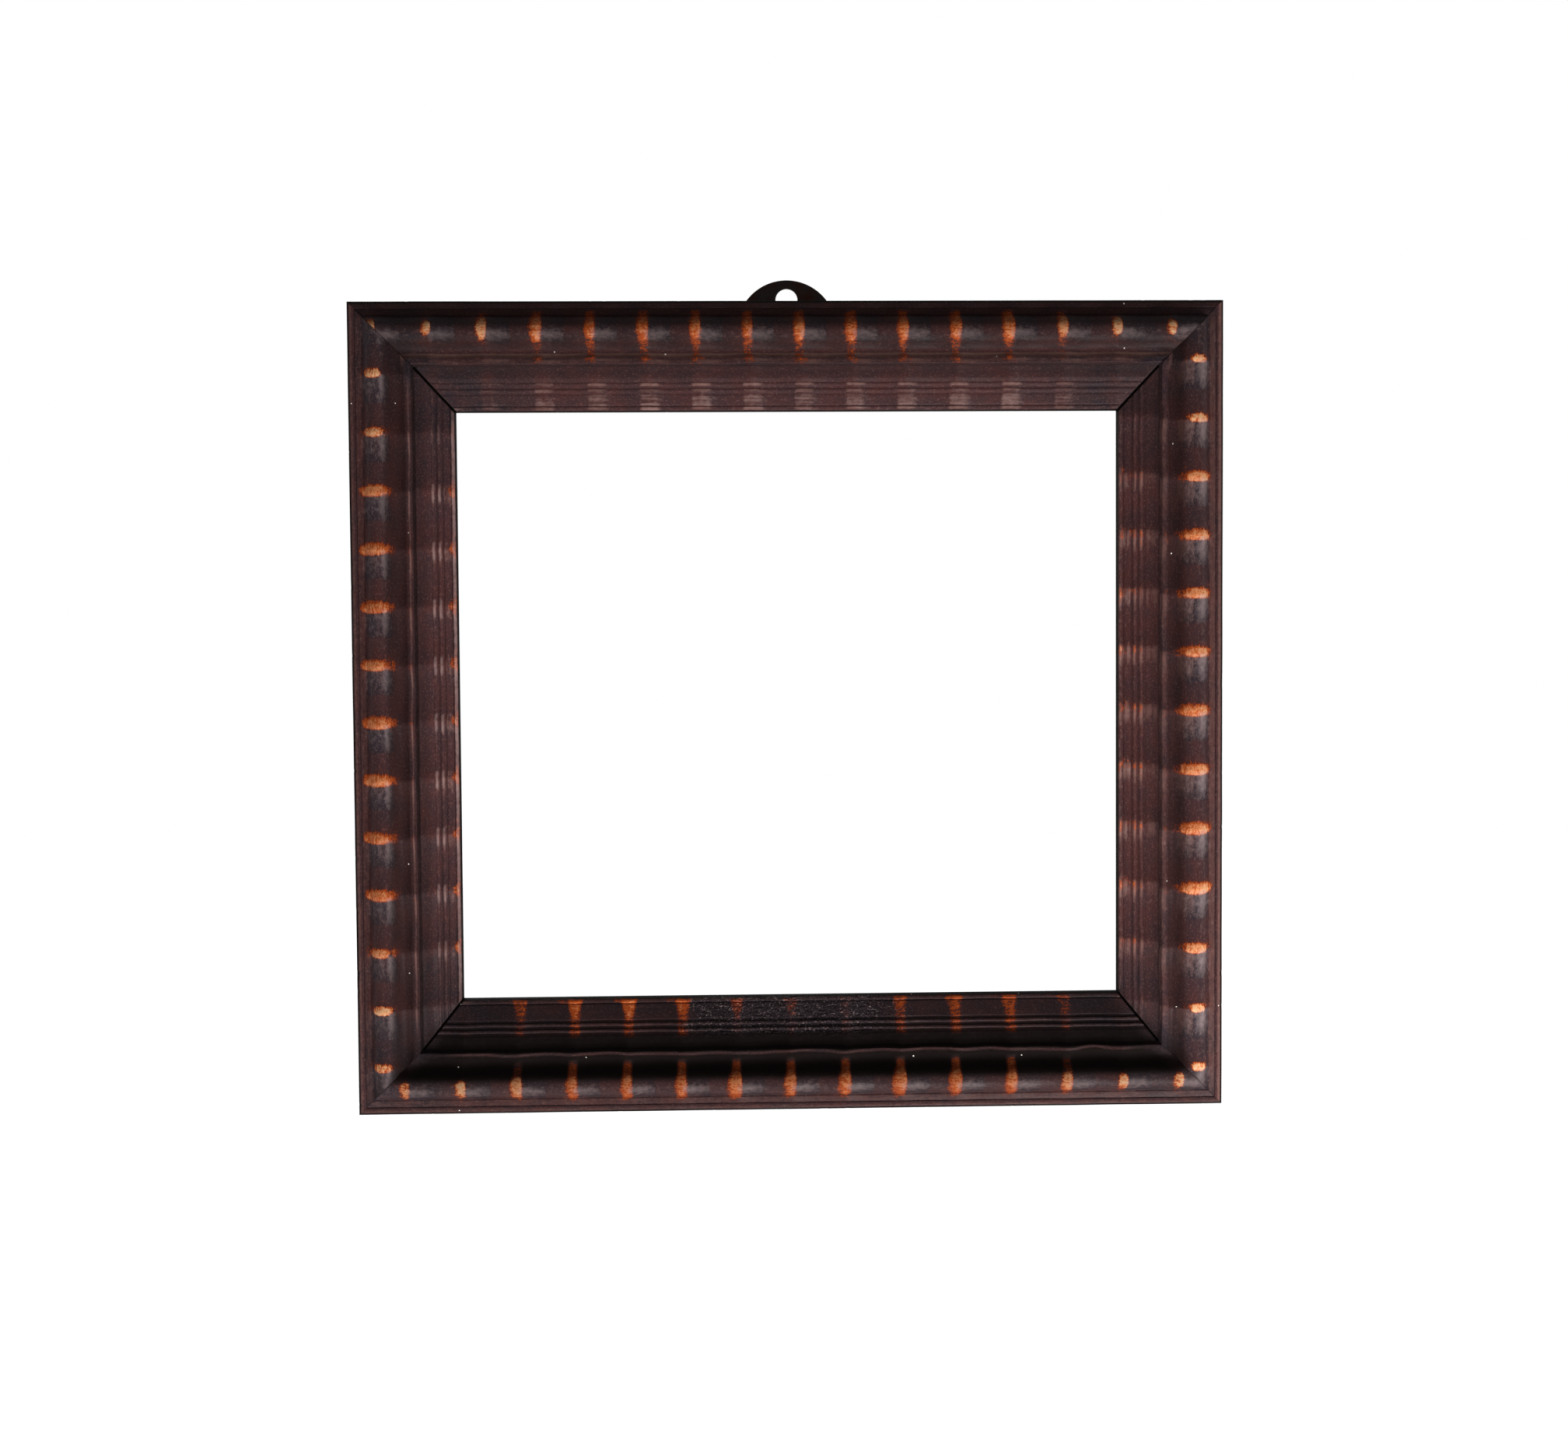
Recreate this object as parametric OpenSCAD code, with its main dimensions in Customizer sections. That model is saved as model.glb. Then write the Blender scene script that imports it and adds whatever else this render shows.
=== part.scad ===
// Ripple-moulded picture frame with a hanger plate, as it hangs on a wall.
// The wall is the plane Y = 0, the front looks along -Y and Z is up.
// The origin is the middle of the hanger's hole, on the wall plane.
// Every rail is drawn flat: X along the rail from its left end, Y inwards from the outer edge
// and Z from the wall to the front. The whole frame is then stood up by upright().

/* [Frame] */
// Width of the frame over its outer edges
frame_w = 454; // [320:1:700]
// Height of the frame over its outer edges, without the hanger
frame_h = 422; // [300:1:700]
// Width of the bottom rail, from the outer edge to the sight edge
bottom_w = 58.5; // [54:0.5:72]
// Width of the left and the right rail
side_w = 53.5; // [52:0.5:70]
// Width of the top rail
top_w = 55.5; // [52:0.5:70]

/* [Carcass] */
// Thickness of the pine carcass behind the mouldings
base_t = 9.5; // [8.5:0.5:14]
// Width of the rebate that takes the picture, behind the sight moulding
rebate_w = 8; // [5:0.5:10]
// Radius of the pegs through the corner laps
peg_r = 2.5; // [1.5:0.25:3.5]
// Distance of each peg from the middle of its corner lap, along X and along Z
peg_off = 9; // [6:0.5:12]

/* [Edge strips] */
// Thickness of the strips around the outside
strip_t = 4.1; // [2.5:0.1:4.5]
// Height of the strips from the wall
strip_h = 24; // [20:0.5:25]
// Bevel along the strips' outer front edges
strip_bevel = 1.2; // [0.3:0.1:1.5]

/* [Outer moulding] */
// Width of the sloping shoulder between edge strip and half round
shoulder_w = 4.7; // [3:0.1:7]
// Height of the shoulder above the wall, beside the edge strip
shoulder_h = 24.2; // [23:0.1:25]
// How far the shoulder climbs towards the half round
shoulder_rise = 1.6; // [0:0.1:2]
// Width of the small groove between shoulder and half round
quirk_w = 1.2; // [0.8:0.1:2]
// Depth of the small groove between shoulder and half round
quirk_d = 0.4; // [0.2:0.1:1.2]
// Radius of the big half round
round_r = 7.6; // [6:0.1:8.4]
// Height of the half round's crest above the wall
crest_h = 31.5; // [31:0.25:34]
// Width of the hollow beside the half round
hollow_w = 7.4; // [5:0.1:8.5]
// Depth of the hollow below its two edges
hollow_d = 1.9; // [0.8:0.1:2.5]
// Width of the narrow raised fillet
fillet_w = 3.3; // [1.5:0.1:4]
// Height of the fillet above the wall
fillet_h = 26.3; // [25:0.1:27]
// Height of the fillet's side above the hollow's edge
fillet_side = 0.7; // [0.3:0.1:1]
// Width of the step between fillet and sight moulding
step_w = 1.2; // [0.8:0.1:2]

/* [Sight moulding] */
// Height of the sight moulding above the wall where it meets the outer moulding
seam_h = 24.5; // [22:0.1:26]
// Thickness of the lip at the sight edge
lip_t = 6; // [3:0.1:8]
// Width of each of the two reeds
reed_w = 1.9; // [1.2:0.1:2.4]
// Height of the reeds above the slope
reed_h = 0.4; // [0.2:0.05:0.8]
// Width of the groove beside each reed
groove_w = 1.2; // [0.8:0.1:1.6]
// Depth of the grooves below the slope
groove_d = 0.7; // [0.3:0.1:1]
// Width of the flat between reeds and bead on the bottom rail
bottom_flat_w = 8.1; // [4:0.1:12]
// Width of the same flat on the left and the right rail
side_flat_w = 3.1; // [1:0.1:6]
// Width of the same flat on the top rail
top_flat_w = 5.1; // [2:0.1:8]
// Width of the bead along the sight edge
sight_bead_w = 2.6; // [2:0.1:4]
// Height of the bead above the slope
sight_bead_h = 0.5; // [0.2:0.1:1]
// How much the plain part of the slope sags and swells
slope_swell = 0.4; // [0.1:0.1:0.8]

/* [Ripple] */
// Depth of the hollows between two ridges, along the half round
outer_ripple = 1.6; // [0.6:0.1:2]
// Depth of the hollows between two ridges, on the sight moulding
sight_ripple = 1.3; // [0.5:0.1:1.5]
// Spacing of the ridges along the bottom rail
bottom_pitch = 28.9; // [24:0.05:36]
// Spacing of the ridges along the right rail
right_pitch = 30.75; // [24:0.05:36]
// Spacing of the ridges along the top rail
top_pitch = 27.55; // [24:0.05:36]
// Spacing of the ridges along the left rail
left_pitch = 29.85; // [24:0.05:36]
// Distance of the bottom rail's first ridge from the left corner
bottom_first = 24.2; // [0:0.1:40]
// Distance of the right rail's first ridge from the bottom corner
right_first = 23.1; // [0:0.1:40]
// Distance of the top rail's first ridge from the right corner
top_first = 27.8; // [0:0.1:40]
// Distance of the left rail's first ridge from the top corner
left_first = 37.8; // [0:0.1:40]
// How far the ridges wander from even spacing along the bottom and right rails
side_sway = 1.2; // [0:0.1:2]
// How far the ridges wander from even spacing along the top rail
top_sway = 2.3; // [0:0.1:3]
// The same along the left rail
left_sway = 0.3; // [0:0.1:2]

/* [Hanger] */
// Radius of the hanger plate's round top
plate_r = 26.5; // [20:0.5:30]
// Thickness of the hanger plate
plate_t = 1.8; // [1:0.1:3]
// How far the plate stands above the frame's top edge
plate_rise = 14.8; // [12.5:0.1:18]
// How far the plate reaches below the frame's top edge
plate_drop = 21; // [18:0.5:24]
// Radius of the hole that the frame hangs by
hole_r = 5.8; // [3:0.1:6.5]
// Height of the hole's middle above the frame's top edge
hole_rise = 4.6; // [4:0.1:6]
// Gap around the plate where it is let into the wood
inlet_gap = 0.3; // [0.1:0.05:0.6]
// Gap around the hole in the wood in front of it, where the hook's tip goes
hook_gap = 0.5; // [0.2:0.1:1]
// Depth of that room for the hook, from the wall
hook_depth = 12; // [8:0.5:16]

/* [Fasteners] */
// Radius of the hanger screws' shanks
screw_r = 1.7; // [1:0.1:2]
// Radius of the hanger screws' heads
screw_head_r = 3.4; // [2.6:0.1:4]
// Length of the hanger screws
screw_len = 7.5; // [5:0.5:8]
// Distance of the two outer screws from the plate's middle
screw_x = 14; // [10:0.5:16]
// Distance of the outer screws below the frame's top edge
screw_drop = 11.5; // [10:0.5:13]
// Distance of the middle screw below the frame's top edge
low_screw_drop = 15.5; // [14:0.5:16]
// Clearance around a screw's shank in the plate
screw_gap = 0.2; // [0.05:0.05:0.4]
// Radius of the moulding brads' shanks
brad_r = 0.7; // [0.5:0.05:1]
// Radius of the brads' small heads
brad_head_r = 1.05; // [1:0.05:1.4]
// How deep the brads reach into the carcass
brad_bite = 6; // [4:0.5:7.5]
// Depth of a brad's head below the moulding's hollows
brad_cover = 2; // [1.5:0.25:3]
// Distance of the outermost brads from the rail's ends
brad_end = 72; // [60:1:90]
// Brads in each moulding
brad_count = 3; // [2:1:5]

/* [Hidden] */
$fn = 64;
BOTTOM = 0;
RIGHT = 1;
TOP = 2;
LEFT = 3;
SIDES = [BOTTOM, RIGHT, TOP, LEFT];
widths = [bottom_w, side_w, top_w, side_w];
flats = [bottom_flat_w, side_flat_w, top_flat_w, side_flat_w];
// how far above its own middle the half round starts and ends, in degrees
round_start = 18;
round_end = 42;
round_steps = 8;
// places along a moulding's section, inwards from the outer edge
round_u = strip_t + shoulder_w + round_r * cos(round_start);
hollow_u = round_u + round_r * cos(round_end);
fillet_u = hollow_u + hollow_w;
seam_u = fillet_u + fillet_w + step_w;
sight_h = base_t + lip_t;
hollow_steps = 4;
// small roundings on the mouldings' arrises
edge_ease = 0.5;
// wood left standing over a scallop before it is cut
cut_margin = 0.4;
// how far a cutter reaches past a moulding's side faces and past its own ridges
side_over = 0.5;
ridge_over = 1.5;
// how far other cuts run past the wood
cut_over = 1;
// where the plain part of the slope sags and swells most, as shares of its width
sag_at = 0.3;
swell_at = 0.75;
brad_head_t = 0.8;
slot_w = 0.9;
slot_d = 0.8;
pitches = [bottom_pitch, right_pitch, top_pitch, left_pitch];
firsts = [bottom_first, right_first, top_first, left_first];
sways = [side_sway, side_sway, top_sway, left_sway];
// where along the rail the wandering starts, in degrees of its one wave
sway_turns = [52, -84, -7, -24];
wood_black = "#38231f";
wood_pine = "#b98f5c";

function is_flat(side) = side == BOTTOM || side == TOP;
function rail_len(side) = is_flat(side) ? frame_w : frame_h;
function across(side) = is_flat(side) ? frame_h : frame_w;
// the rails that meet a rail at its start and at its end
function rail_before(side) = (side + 3) % 4;
function rail_after(side) = (side + 1) % 4;
function base_u(side) = widths[side] - rebate_w;

// Section of the outer moulding's front, from the edge strip to the sight moulding.
round_mid_h = crest_h - round_r;
round_end_h = round_mid_h + round_r * sin(round_end);
quirk_h = shoulder_h + shoulder_rise;
hollow_end_h = fillet_h - fillet_side;
outer_front = concat(
    [[strip_t, shoulder_h - edge_ease], [strip_t + edge_ease, shoulder_h],
     [strip_t + shoulder_w - quirk_w, quirk_h],
     [strip_t + shoulder_w - quirk_w / 2, quirk_h - quirk_d]],
    [for (i = [0 : round_steps])
        let (a = 180 - round_start - (180 - round_start - round_end) * i / round_steps)
        [round_u + round_r * cos(a), round_mid_h + round_r * sin(a)]],
    [for (i = [1 : hollow_steps])
        let (t = i / hollow_steps)
        [hollow_u + hollow_w * t,
         round_end_h + (hollow_end_h - round_end_h) * t - hollow_d * sin(180 * t)]],
    [[fillet_u + edge_ease / 2, fillet_h], [fillet_u + fillet_w, fillet_h],
     [fillet_u + fillet_w + step_w / 2, seam_h + edge_ease], [seam_u, seam_h]]
);

// Places along a sight moulding's section, taken from the sight edge outwards.
// The plain slope between the outer moulding and the reeds takes what is left of the rail's width.
function bead_u(side) = widths[side] - sight_bead_w;
function flat_u(side) = bead_u(side) - flats[side];
function reed2_u(side) = flat_u(side) - groove_w - reed_w;
function reed1_u(side) = reed2_u(side) - groove_w - reed_w;

// Height of a sight moulding's slope at a distance u from the outer edge.
function slope_h(side, u) = seam_h + (sight_h - seam_h) * (u - seam_u) / (widths[side] - seam_u);

// A point of a sight moulding's section, a little above or below its slope.
function on_slope(side, u, rise) = [u, slope_h(side, u) + rise];

// One raised reed with its groove on the inner side, starting at u.
function reed(side, u) = [
    on_slope(side, u, -reed_h / 2),
    on_slope(side, u + reed_w / 4, reed_h),
    on_slope(side, u + reed_w * 3 / 4, reed_h),
    on_slope(side, u + reed_w, -groove_d),
    on_slope(side, u + reed_w + groove_w * 3 / 4, -groove_d)
];

// Section of a sight moulding's front, from the outer moulding to the sight edge.
function sight_front(side) =
    let (plain_w = reed1_u(side) - seam_u, bead = bead_u(side))
    concat(
        [on_slope(side, seam_u, -edge_ease), on_slope(side, seam_u + plain_w * sag_at, -slope_swell),
         on_slope(side, seam_u + plain_w * swell_at, slope_swell)],
        reed(side, reed1_u(side)),
        reed(side, reed2_u(side)),
        [on_slope(side, flat_u(side), 0), on_slope(side, bead - edge_ease, 0),
         on_slope(side, bead, -edge_ease),
         on_slope(side, bead + sight_bead_w / 4, sight_bead_h),
         on_slope(side, bead + sight_bead_w * 3 / 4, sight_bead_h),
         [widths[side], sight_h - edge_ease]]
    );

// Distance of ridge i from the rail's start.
function ridge(side, i) =
    let (x = firsts[side] + i * pitches[side])
    x + sways[side] * sin(360 * x / rail_len(side) + sway_turns[side]);
function first_ridge(side) = -ceil(firsts[side] / pitches[side]) - 1;
function last_ridge(side) = ceil((rail_len(side) - firsts[side]) / pitches[side]) + 1;

// Stands the flat frame up, with the hanger's hole at the origin.
module upright() {
    rotate([90, 0, 0])
        translate([0, -frame_h / 2 - hole_rise, 0])
            children();
}

// Puts a rail that is drawn flat from its left end onto its side of the frame.
module on_side(side) {
    rotate([0, 0, 90 * side])
        translate([-rail_len(side) / 2, -across(side) / 2, 0])
            children();
}

// A bar with the given section, [distance inwards, height], from u0 to u1, mitred at both ends.
// The mitres run to start_u and end_u along the rail, which differ from u1 where the rails do.
module mitred_bar(section, len, u0, u1, start_u, end_u) {
    intersection() {
        rotate([90, 0, 90])
            linear_extrude(len)
                polygon(section);
        translate([0, 0, -cut_over])
            linear_extrude(crest_h + cut_margin + 2 * cut_over)
                polygon([[u0, u0], [len - u0, u0], [len - end_u, u1], [start_u, u1]]);
    }
}

// What the scraper takes out between the ridges at x0 and x1: the section turned about an axis
// in front of the rail, so that the hollow is depth deep at the section's highest point.
module scallop(front, top_h, depth, x0, x1) {
    half = (x1 - x0) / 2;
    radius = (half * half + depth * depth) / (2 * depth);
    axis_h = top_h - depth + radius;
    turn = asin((half + ridge_over) / radius);
    last = len(front) - 1;
    inner = radius - depth - cut_over;
    translate([(x0 + x1) / 2, 0, axis_h])
        rotate([-90, 0, 0])
            rotate_extrude(start = 90 - turn, angle = 2 * turn, $fn = 360)
                polygon(concat(
                    [for (i = [0 : last])
                        [radius + top_h - front[i][1],
                         front[i][0] + (i == 0 ? -side_over : i == last ? side_over : 0)]],
                    [[inner, front[last][0] + side_over], [inner, front[0][0] - side_over]]));
}

// A moulding on the carcass with a flat back and a rippled front.
module rippled_moulding(side, front, start_u, end_u, depth, brad_u, head_h) {
    last = len(front) - 1;
    top_h = max([for (p = front) p[1]]);
    section = concat([[front[0][0], base_t]],
        [for (p = front) [p[0], p[1] + cut_margin]],
        [[front[last][0], base_t]]);
    difference() {
        mitred_bar(section, rail_len(side), front[0][0], front[last][0], start_u, end_u);
        for (i = [first_ridge(side) : last_ridge(side) - 1])
            scallop(front, top_h, depth, ridge(side, i), ridge(side, i + 1));
        brads(side, brad_u, head_h);
    }
}

// Brads through a moulding into the carcass. Their heads are punched below the surface and filled.
outer_brad_u = hollow_u + hollow_w / 2;
outer_brad_h = hollow_end_h - hollow_d - outer_ripple - brad_cover;
function sight_brad_u(side) = reed1_u(side) - brad_head_r;
function sight_brad_h(side) = slope_h(side, reed1_u(side)) - sight_ripple - brad_cover;
module brads(side, u, head_h) {
    span = rail_len(side) - 2 * brad_end;
    for (i = [0 : brad_count - 1])
        translate([brad_end + span * i / (brad_count - 1), u, 0]) {
            translate([0, 0, base_t - brad_bite])
                cylinder(r = brad_r, h = head_h - brad_head_t - base_t + brad_bite);
            translate([0, 0, head_h - brad_head_t])
                cylinder(r = brad_head_r, h = brad_head_t);
        }
}

// Pegs through one corner lap, given the corner's signs.
module lap_pegs(sx, sy) {
    mid_x = (strip_t + base_u(sx > 0 ? RIGHT : LEFT)) / 2;
    mid_y = (strip_t + base_u(sy > 0 ? TOP : BOTTOM)) / 2;
    for (d = [-1, 1])
        translate([sx * (frame_w / 2 - mid_x + d * peg_off), sy * (frame_h / 2 - mid_y + d * peg_off), 0])
            cylinder(r = peg_r, h = base_t);
}

module all_pegs() {
    for (sx = [-1, 1], sy = [-1, 1])
        lap_pegs(sx, sy);
}

// The plate's outline: a round top with its sides carried down to a straight lower edge.
module plate_outline(gap) {
    middle = plate_rise - plate_r;
    translate([0, frame_h / 2])
        intersection() {
            union() {
                translate([0, middle])
                    circle(r = plate_r + gap, $fn = 96);
                translate([-plate_r - gap, -plate_drop - gap])
                    square([2 * (plate_r + gap), plate_drop + middle + gap]);
            }
            translate([-plate_r - gap, -plate_drop - gap])
                square([2 * (plate_r + gap), plate_drop + plate_rise + 2 * gap]);
        }
}

// Puts something on the hole's axis.
module at_hole() {
    translate([0, frame_h / 2 + hole_rise, -cut_over])
        children();
}

// What is cut out of the wood so that the plate lies flush with the back and the hole is free.
module plate_inlet() {
    translate([0, 0, -cut_over])
        linear_extrude(plate_t + cut_over)
            plate_outline(inlet_gap);
    at_hole() cylinder(r = hole_r + hook_gap, h = hook_depth + cut_over);
}

module at_screws() {
    for (p = [[-screw_x, -screw_drop], [screw_x, -screw_drop], [0, -low_screw_drop]])
        translate([p[0], frame_h / 2 + p[1], 0])
            children();
}

// A countersunk screw driven from the wall side, with its head flush with the plate.
module screw() {
    head_t = screw_head_r - screw_r;
    difference() {
        union() {
            cylinder(r1 = screw_head_r, r2 = screw_r, h = head_t);
            translate([0, 0, head_t])
                cylinder(r = screw_r, h = screw_len - head_t);
        }
        translate([-screw_head_r - cut_over, -slot_w / 2, -cut_over])
            cube([2 * (screw_head_r + cut_over), slot_w, slot_d + cut_over]);
    }
}

// Room for the screw in the plate and in the wood.
module screw_hole(gap) {
    head_t = screw_head_r - screw_r;
    cylinder(r1 = screw_head_r, r2 = screw_r, h = head_t);
    cylinder(r = screw_r + gap, h = screw_len);
}

// Pine bar of the carcass. In the corner laps the rails keep the half towards the wall
// and the stiles keep the other half.
module base_bar(side) {
    len = rail_len(side);
    bar_w = base_u(side) - strip_t;
    start_lap = base_u(rail_before(side)) - strip_t;
    end_lap = base_u(rail_after(side)) - strip_t;
    lap_h = base_t / 2;
    color(wood_pine)
        upright()
            difference() {
                on_side(side)
                    difference() {
                        translate([strip_t, strip_t, 0])
                            cube([len - 2 * strip_t, bar_w, base_t]);
                        for (lap = [[strip_t - cut_over, start_lap], [len - strip_t - end_lap, end_lap]])
                            translate([lap[0], strip_t - cut_over, is_flat(side) ? lap_h : -cut_over])
                                cube([lap[1] + cut_over, bar_w + 2 * cut_over, lap_h + cut_over]);
                        brads(side, outer_brad_u, outer_brad_h);
                        brads(side, sight_brad_u(side), sight_brad_h(side));
                    }
                all_pegs();
                if (side == TOP) {
                    plate_inlet();
                    at_screws() screw_hole(0);
                }
            }
}

// Thin strip that covers the outer side of carcass and moulding.
module edge_strip(side) {
    section = [[0, 0], [0, strip_h - strip_bevel], [strip_bevel, strip_h],
        [strip_t - edge_ease, strip_h], [strip_t, strip_h - edge_ease], [strip_t, 0]];
    color(wood_black)
        upright()
            difference() {
                on_side(side) mitred_bar(section, rail_len(side), 0, strip_t, strip_t, strip_t);
                if (side == TOP)
                    plate_inlet();
            }
}

module outer_moulding(side) {
    color(wood_black)
        upright()
            on_side(side)
                rippled_moulding(side, outer_front, seam_u, seam_u,
                    outer_ripple, outer_brad_u, outer_brad_h);
}

module sight_moulding(side) {
    color("#41302c")
        upright()
            on_side(side)
                rippled_moulding(side, sight_front(side), widths[rail_before(side)], widths[rail_after(side)],
                    sight_ripple, sight_brad_u(side), sight_brad_h(side));
}

module corner_pegs() {
    color("#8a6236")
        upright()
            all_pegs();
}

module outer_moulding_brads() {
    color("#6b6762")
        upright()
            for (side = SIDES)
                on_side(side) brads(side, outer_brad_u, outer_brad_h);
}

module sight_moulding_brads() {
    color("#6b6762")
        upright()
            for (side = SIDES)
                on_side(side) brads(side, sight_brad_u(side), sight_brad_h(side));
}

module hanger_plate() {
    color("#2a211e")
        upright()
            difference() {
                linear_extrude(plate_t)
                    plate_outline(0);
                at_hole() cylinder(r = hole_r, h = plate_t + 2 * cut_over);
                at_screws() screw_hole(screw_gap);
            }
}

module hanger_screws() {
    color("#55504a")
        upright()
            at_screws() screw();
}

base_bar(BOTTOM);  // base_rail_bottom
base_bar(RIGHT);  // base_stile_right
base_bar(TOP);  // base_rail_top
base_bar(LEFT);  // base_stile_left
edge_strip(BOTTOM);  // edge_strip_bottom
edge_strip(RIGHT);  // edge_strip_right
edge_strip(TOP);  // edge_strip_top
edge_strip(LEFT);  // edge_strip_left
outer_moulding(BOTTOM);  // outer_moulding_bottom
outer_moulding(RIGHT);  // outer_moulding_right
outer_moulding(TOP);  // outer_moulding_top
outer_moulding(LEFT);  // outer_moulding_left
sight_moulding(BOTTOM);  // sight_moulding_bottom
sight_moulding(RIGHT);  // sight_moulding_right
sight_moulding(TOP);  // sight_moulding_top
sight_moulding(LEFT);  // sight_moulding_left
corner_pegs();
outer_moulding_brads();
sight_moulding_brads();
hanger_plate();
hanger_screws();
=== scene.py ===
"""A ripple-moulded picture frame: its worn black mouldings, its pine carcass and its hanger."""

import math

import bmesh
import bpy
import numpy as np
from bpy.props import FloatProperty, FloatVectorProperty, PointerProperty
from mathutils import Matrix, Vector


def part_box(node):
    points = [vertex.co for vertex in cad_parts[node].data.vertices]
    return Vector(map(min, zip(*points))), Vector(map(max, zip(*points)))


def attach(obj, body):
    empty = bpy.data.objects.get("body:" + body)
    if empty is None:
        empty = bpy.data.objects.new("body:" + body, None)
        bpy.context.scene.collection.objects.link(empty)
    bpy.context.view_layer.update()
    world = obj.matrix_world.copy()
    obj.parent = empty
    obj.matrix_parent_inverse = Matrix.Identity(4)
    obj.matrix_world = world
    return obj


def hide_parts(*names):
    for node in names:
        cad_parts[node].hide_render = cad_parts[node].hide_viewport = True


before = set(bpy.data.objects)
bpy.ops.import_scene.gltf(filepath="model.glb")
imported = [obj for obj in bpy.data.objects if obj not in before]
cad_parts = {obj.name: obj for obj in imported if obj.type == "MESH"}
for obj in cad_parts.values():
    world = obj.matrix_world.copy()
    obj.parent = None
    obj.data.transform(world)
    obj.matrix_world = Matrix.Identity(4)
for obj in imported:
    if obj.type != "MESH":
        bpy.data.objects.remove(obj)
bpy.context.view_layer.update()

bl_info = {
    "name": "Ripple-moulded picture frame",
    "version": (1, 0, 0),
    "blender": (4, 5, 0),
    "location": "View3D > Sidebar > Ripple Frame",
    "description": "Dresses a picture frame with worn, rippled mouldings",
    "category": "Object",
}

MM = 0.001
BOTTOM, RIGHT, TOP, LEFT = range(4)
SIDES = {BOTTOM: "bottom", RIGHT: "right", TOP: "top", LEFT: "left"}

# Rows of points along a moulding, and the extra rows beside each mitre.
ROW_SPACING = 0.5 * MM
MITRE_ROWS = (0.12 * MM, 0.25 * MM, 0.4 * MM, 0.6 * MM)
STRIP_ROW_SPACING = 0.8 * MM

# Widths of the eased arrises, and the angles from which an edge counts as one.
PINE_ARRIS = 0.4 * MM
IRON_ARRIS = 0.35 * MM
ARRIS_ANGLE = math.radians(30)
MOULDING_EDGE_ANGLE = math.radians(50)

# Seeds of the random draws. Each rail adds its own number to them.
OUTER_SHAPE_SEED = 11
FILLET_SEED = 15
SIGHT_SHAPE_SEED = 21
OUTER_RIDGE_SEED = 31
SIGHT_RIDGE_SEED = 57
STREAK_SEED = 61
BLISTER_SEED = 71
ARRIS_SEED = 81
CHIP_SEED = 91


def low_corner(node):
    """Lowest corner of a CAD node."""
    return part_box(node)[0]


def high_corner(node):
    """Highest corner of a CAD node."""
    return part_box(node)[1]


# The frame's outside, its rails and its heights above the wall, all read from the CAD nodes.
FRAME_LEFT = low_corner("edge_strip_left").x
FRAME_RIGHT = high_corner("edge_strip_right").x
FRAME_BOTTOM = low_corner("edge_strip_bottom").z
FRAME_TOP = high_corner("edge_strip_top").z
FRAME_W = FRAME_RIGHT - FRAME_LEFT
FRAME_H = FRAME_TOP - FRAME_BOTTOM
MIDDLE = Vector(((FRAME_LEFT + FRAME_RIGHT) / 2, 0, (FRAME_BOTTOM + FRAME_TOP) / 2))
STRIP_T = high_corner("edge_strip_left").x - FRAME_LEFT
STRIP_H = -low_corner("edge_strip_left").y
BASE_T = -low_corner("base_rail_bottom").y
CREST_H = -low_corner("outer_moulding_bottom").y
SEAM_U = high_corner("outer_moulding_left").x - FRAME_LEFT
RAIL_W = {
    BOTTOM: high_corner("sight_moulding_bottom").z - FRAME_BOTTOM,
    RIGHT: FRAME_RIGHT - low_corner("sight_moulding_right").x,
    TOP: FRAME_TOP - low_corner("sight_moulding_top").z,
    LEFT: high_corner("sight_moulding_left").x - FRAME_LEFT,
}
# The hole's middle is the origin, so the frame's top edge lies this far below it.
HOLE_RISE = -FRAME_TOP


def length(name, description, mm):
    """A property that holds a length, given in millimetres."""
    return FloatProperty(
        name=name, description=description, default=mm * MM, min=0, unit="LENGTH", precision=5
    )


def turn(name, description, degrees):
    """A property that holds an angle, given in degrees."""
    angle = math.radians(degrees)
    return FloatProperty(name=name, description=description, default=angle, unit="ROTATION")


def four(name, description, values, **more):
    """A property that holds one value for each side: bottom, right, top and left."""
    return FloatVectorProperty(name=name, description=description, default=values, size=4, **more)


def four_lengths(name, description, mm):
    """A property that holds one length for each side, given in millimetres."""
    return four(name, description, [value * MM for value in mm], unit="LENGTH", precision=5)


def point(name, description, x, y, z):
    """A property that holds a point, counted from the middle of the frame."""
    return FloatVectorProperty(
        name=name, description=description, default=(x, y, z), size=3, unit="LENGTH", precision=4
    )


def linear(red, green, blue):
    """A colour as a screen shows it, 0 to 255, turned into the linear values that shading works with."""
    shares = np.array([red, green, blue]) / 255
    values = np.where(shares <= 0.04045, shares / 12.92, ((shares + 0.055) / 1.055) ** 2.4)
    return [float(value) for value in values]


def colour(name, description, red, green, blue):
    """A property that holds a colour, given as it looks on a screen."""
    return FloatVectorProperty(
        name=name,
        description=description,
        default=linear(red, green, blue),
        size=3,
        subtype="COLOR",
        min=0,
        max=1,
    )


def lamp_place(name, x, y, z):
    """A property that holds a lamp's place."""
    return point(name, "Place of the lamp from the middle of the frame", x, y, z)


def lamp_level(name, level):
    """A property that holds a lamp's level."""
    words = "Brightness that the lamp gives a white face turned to it"
    return FloatProperty(name=name, description=words, default=level, min=0)


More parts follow.
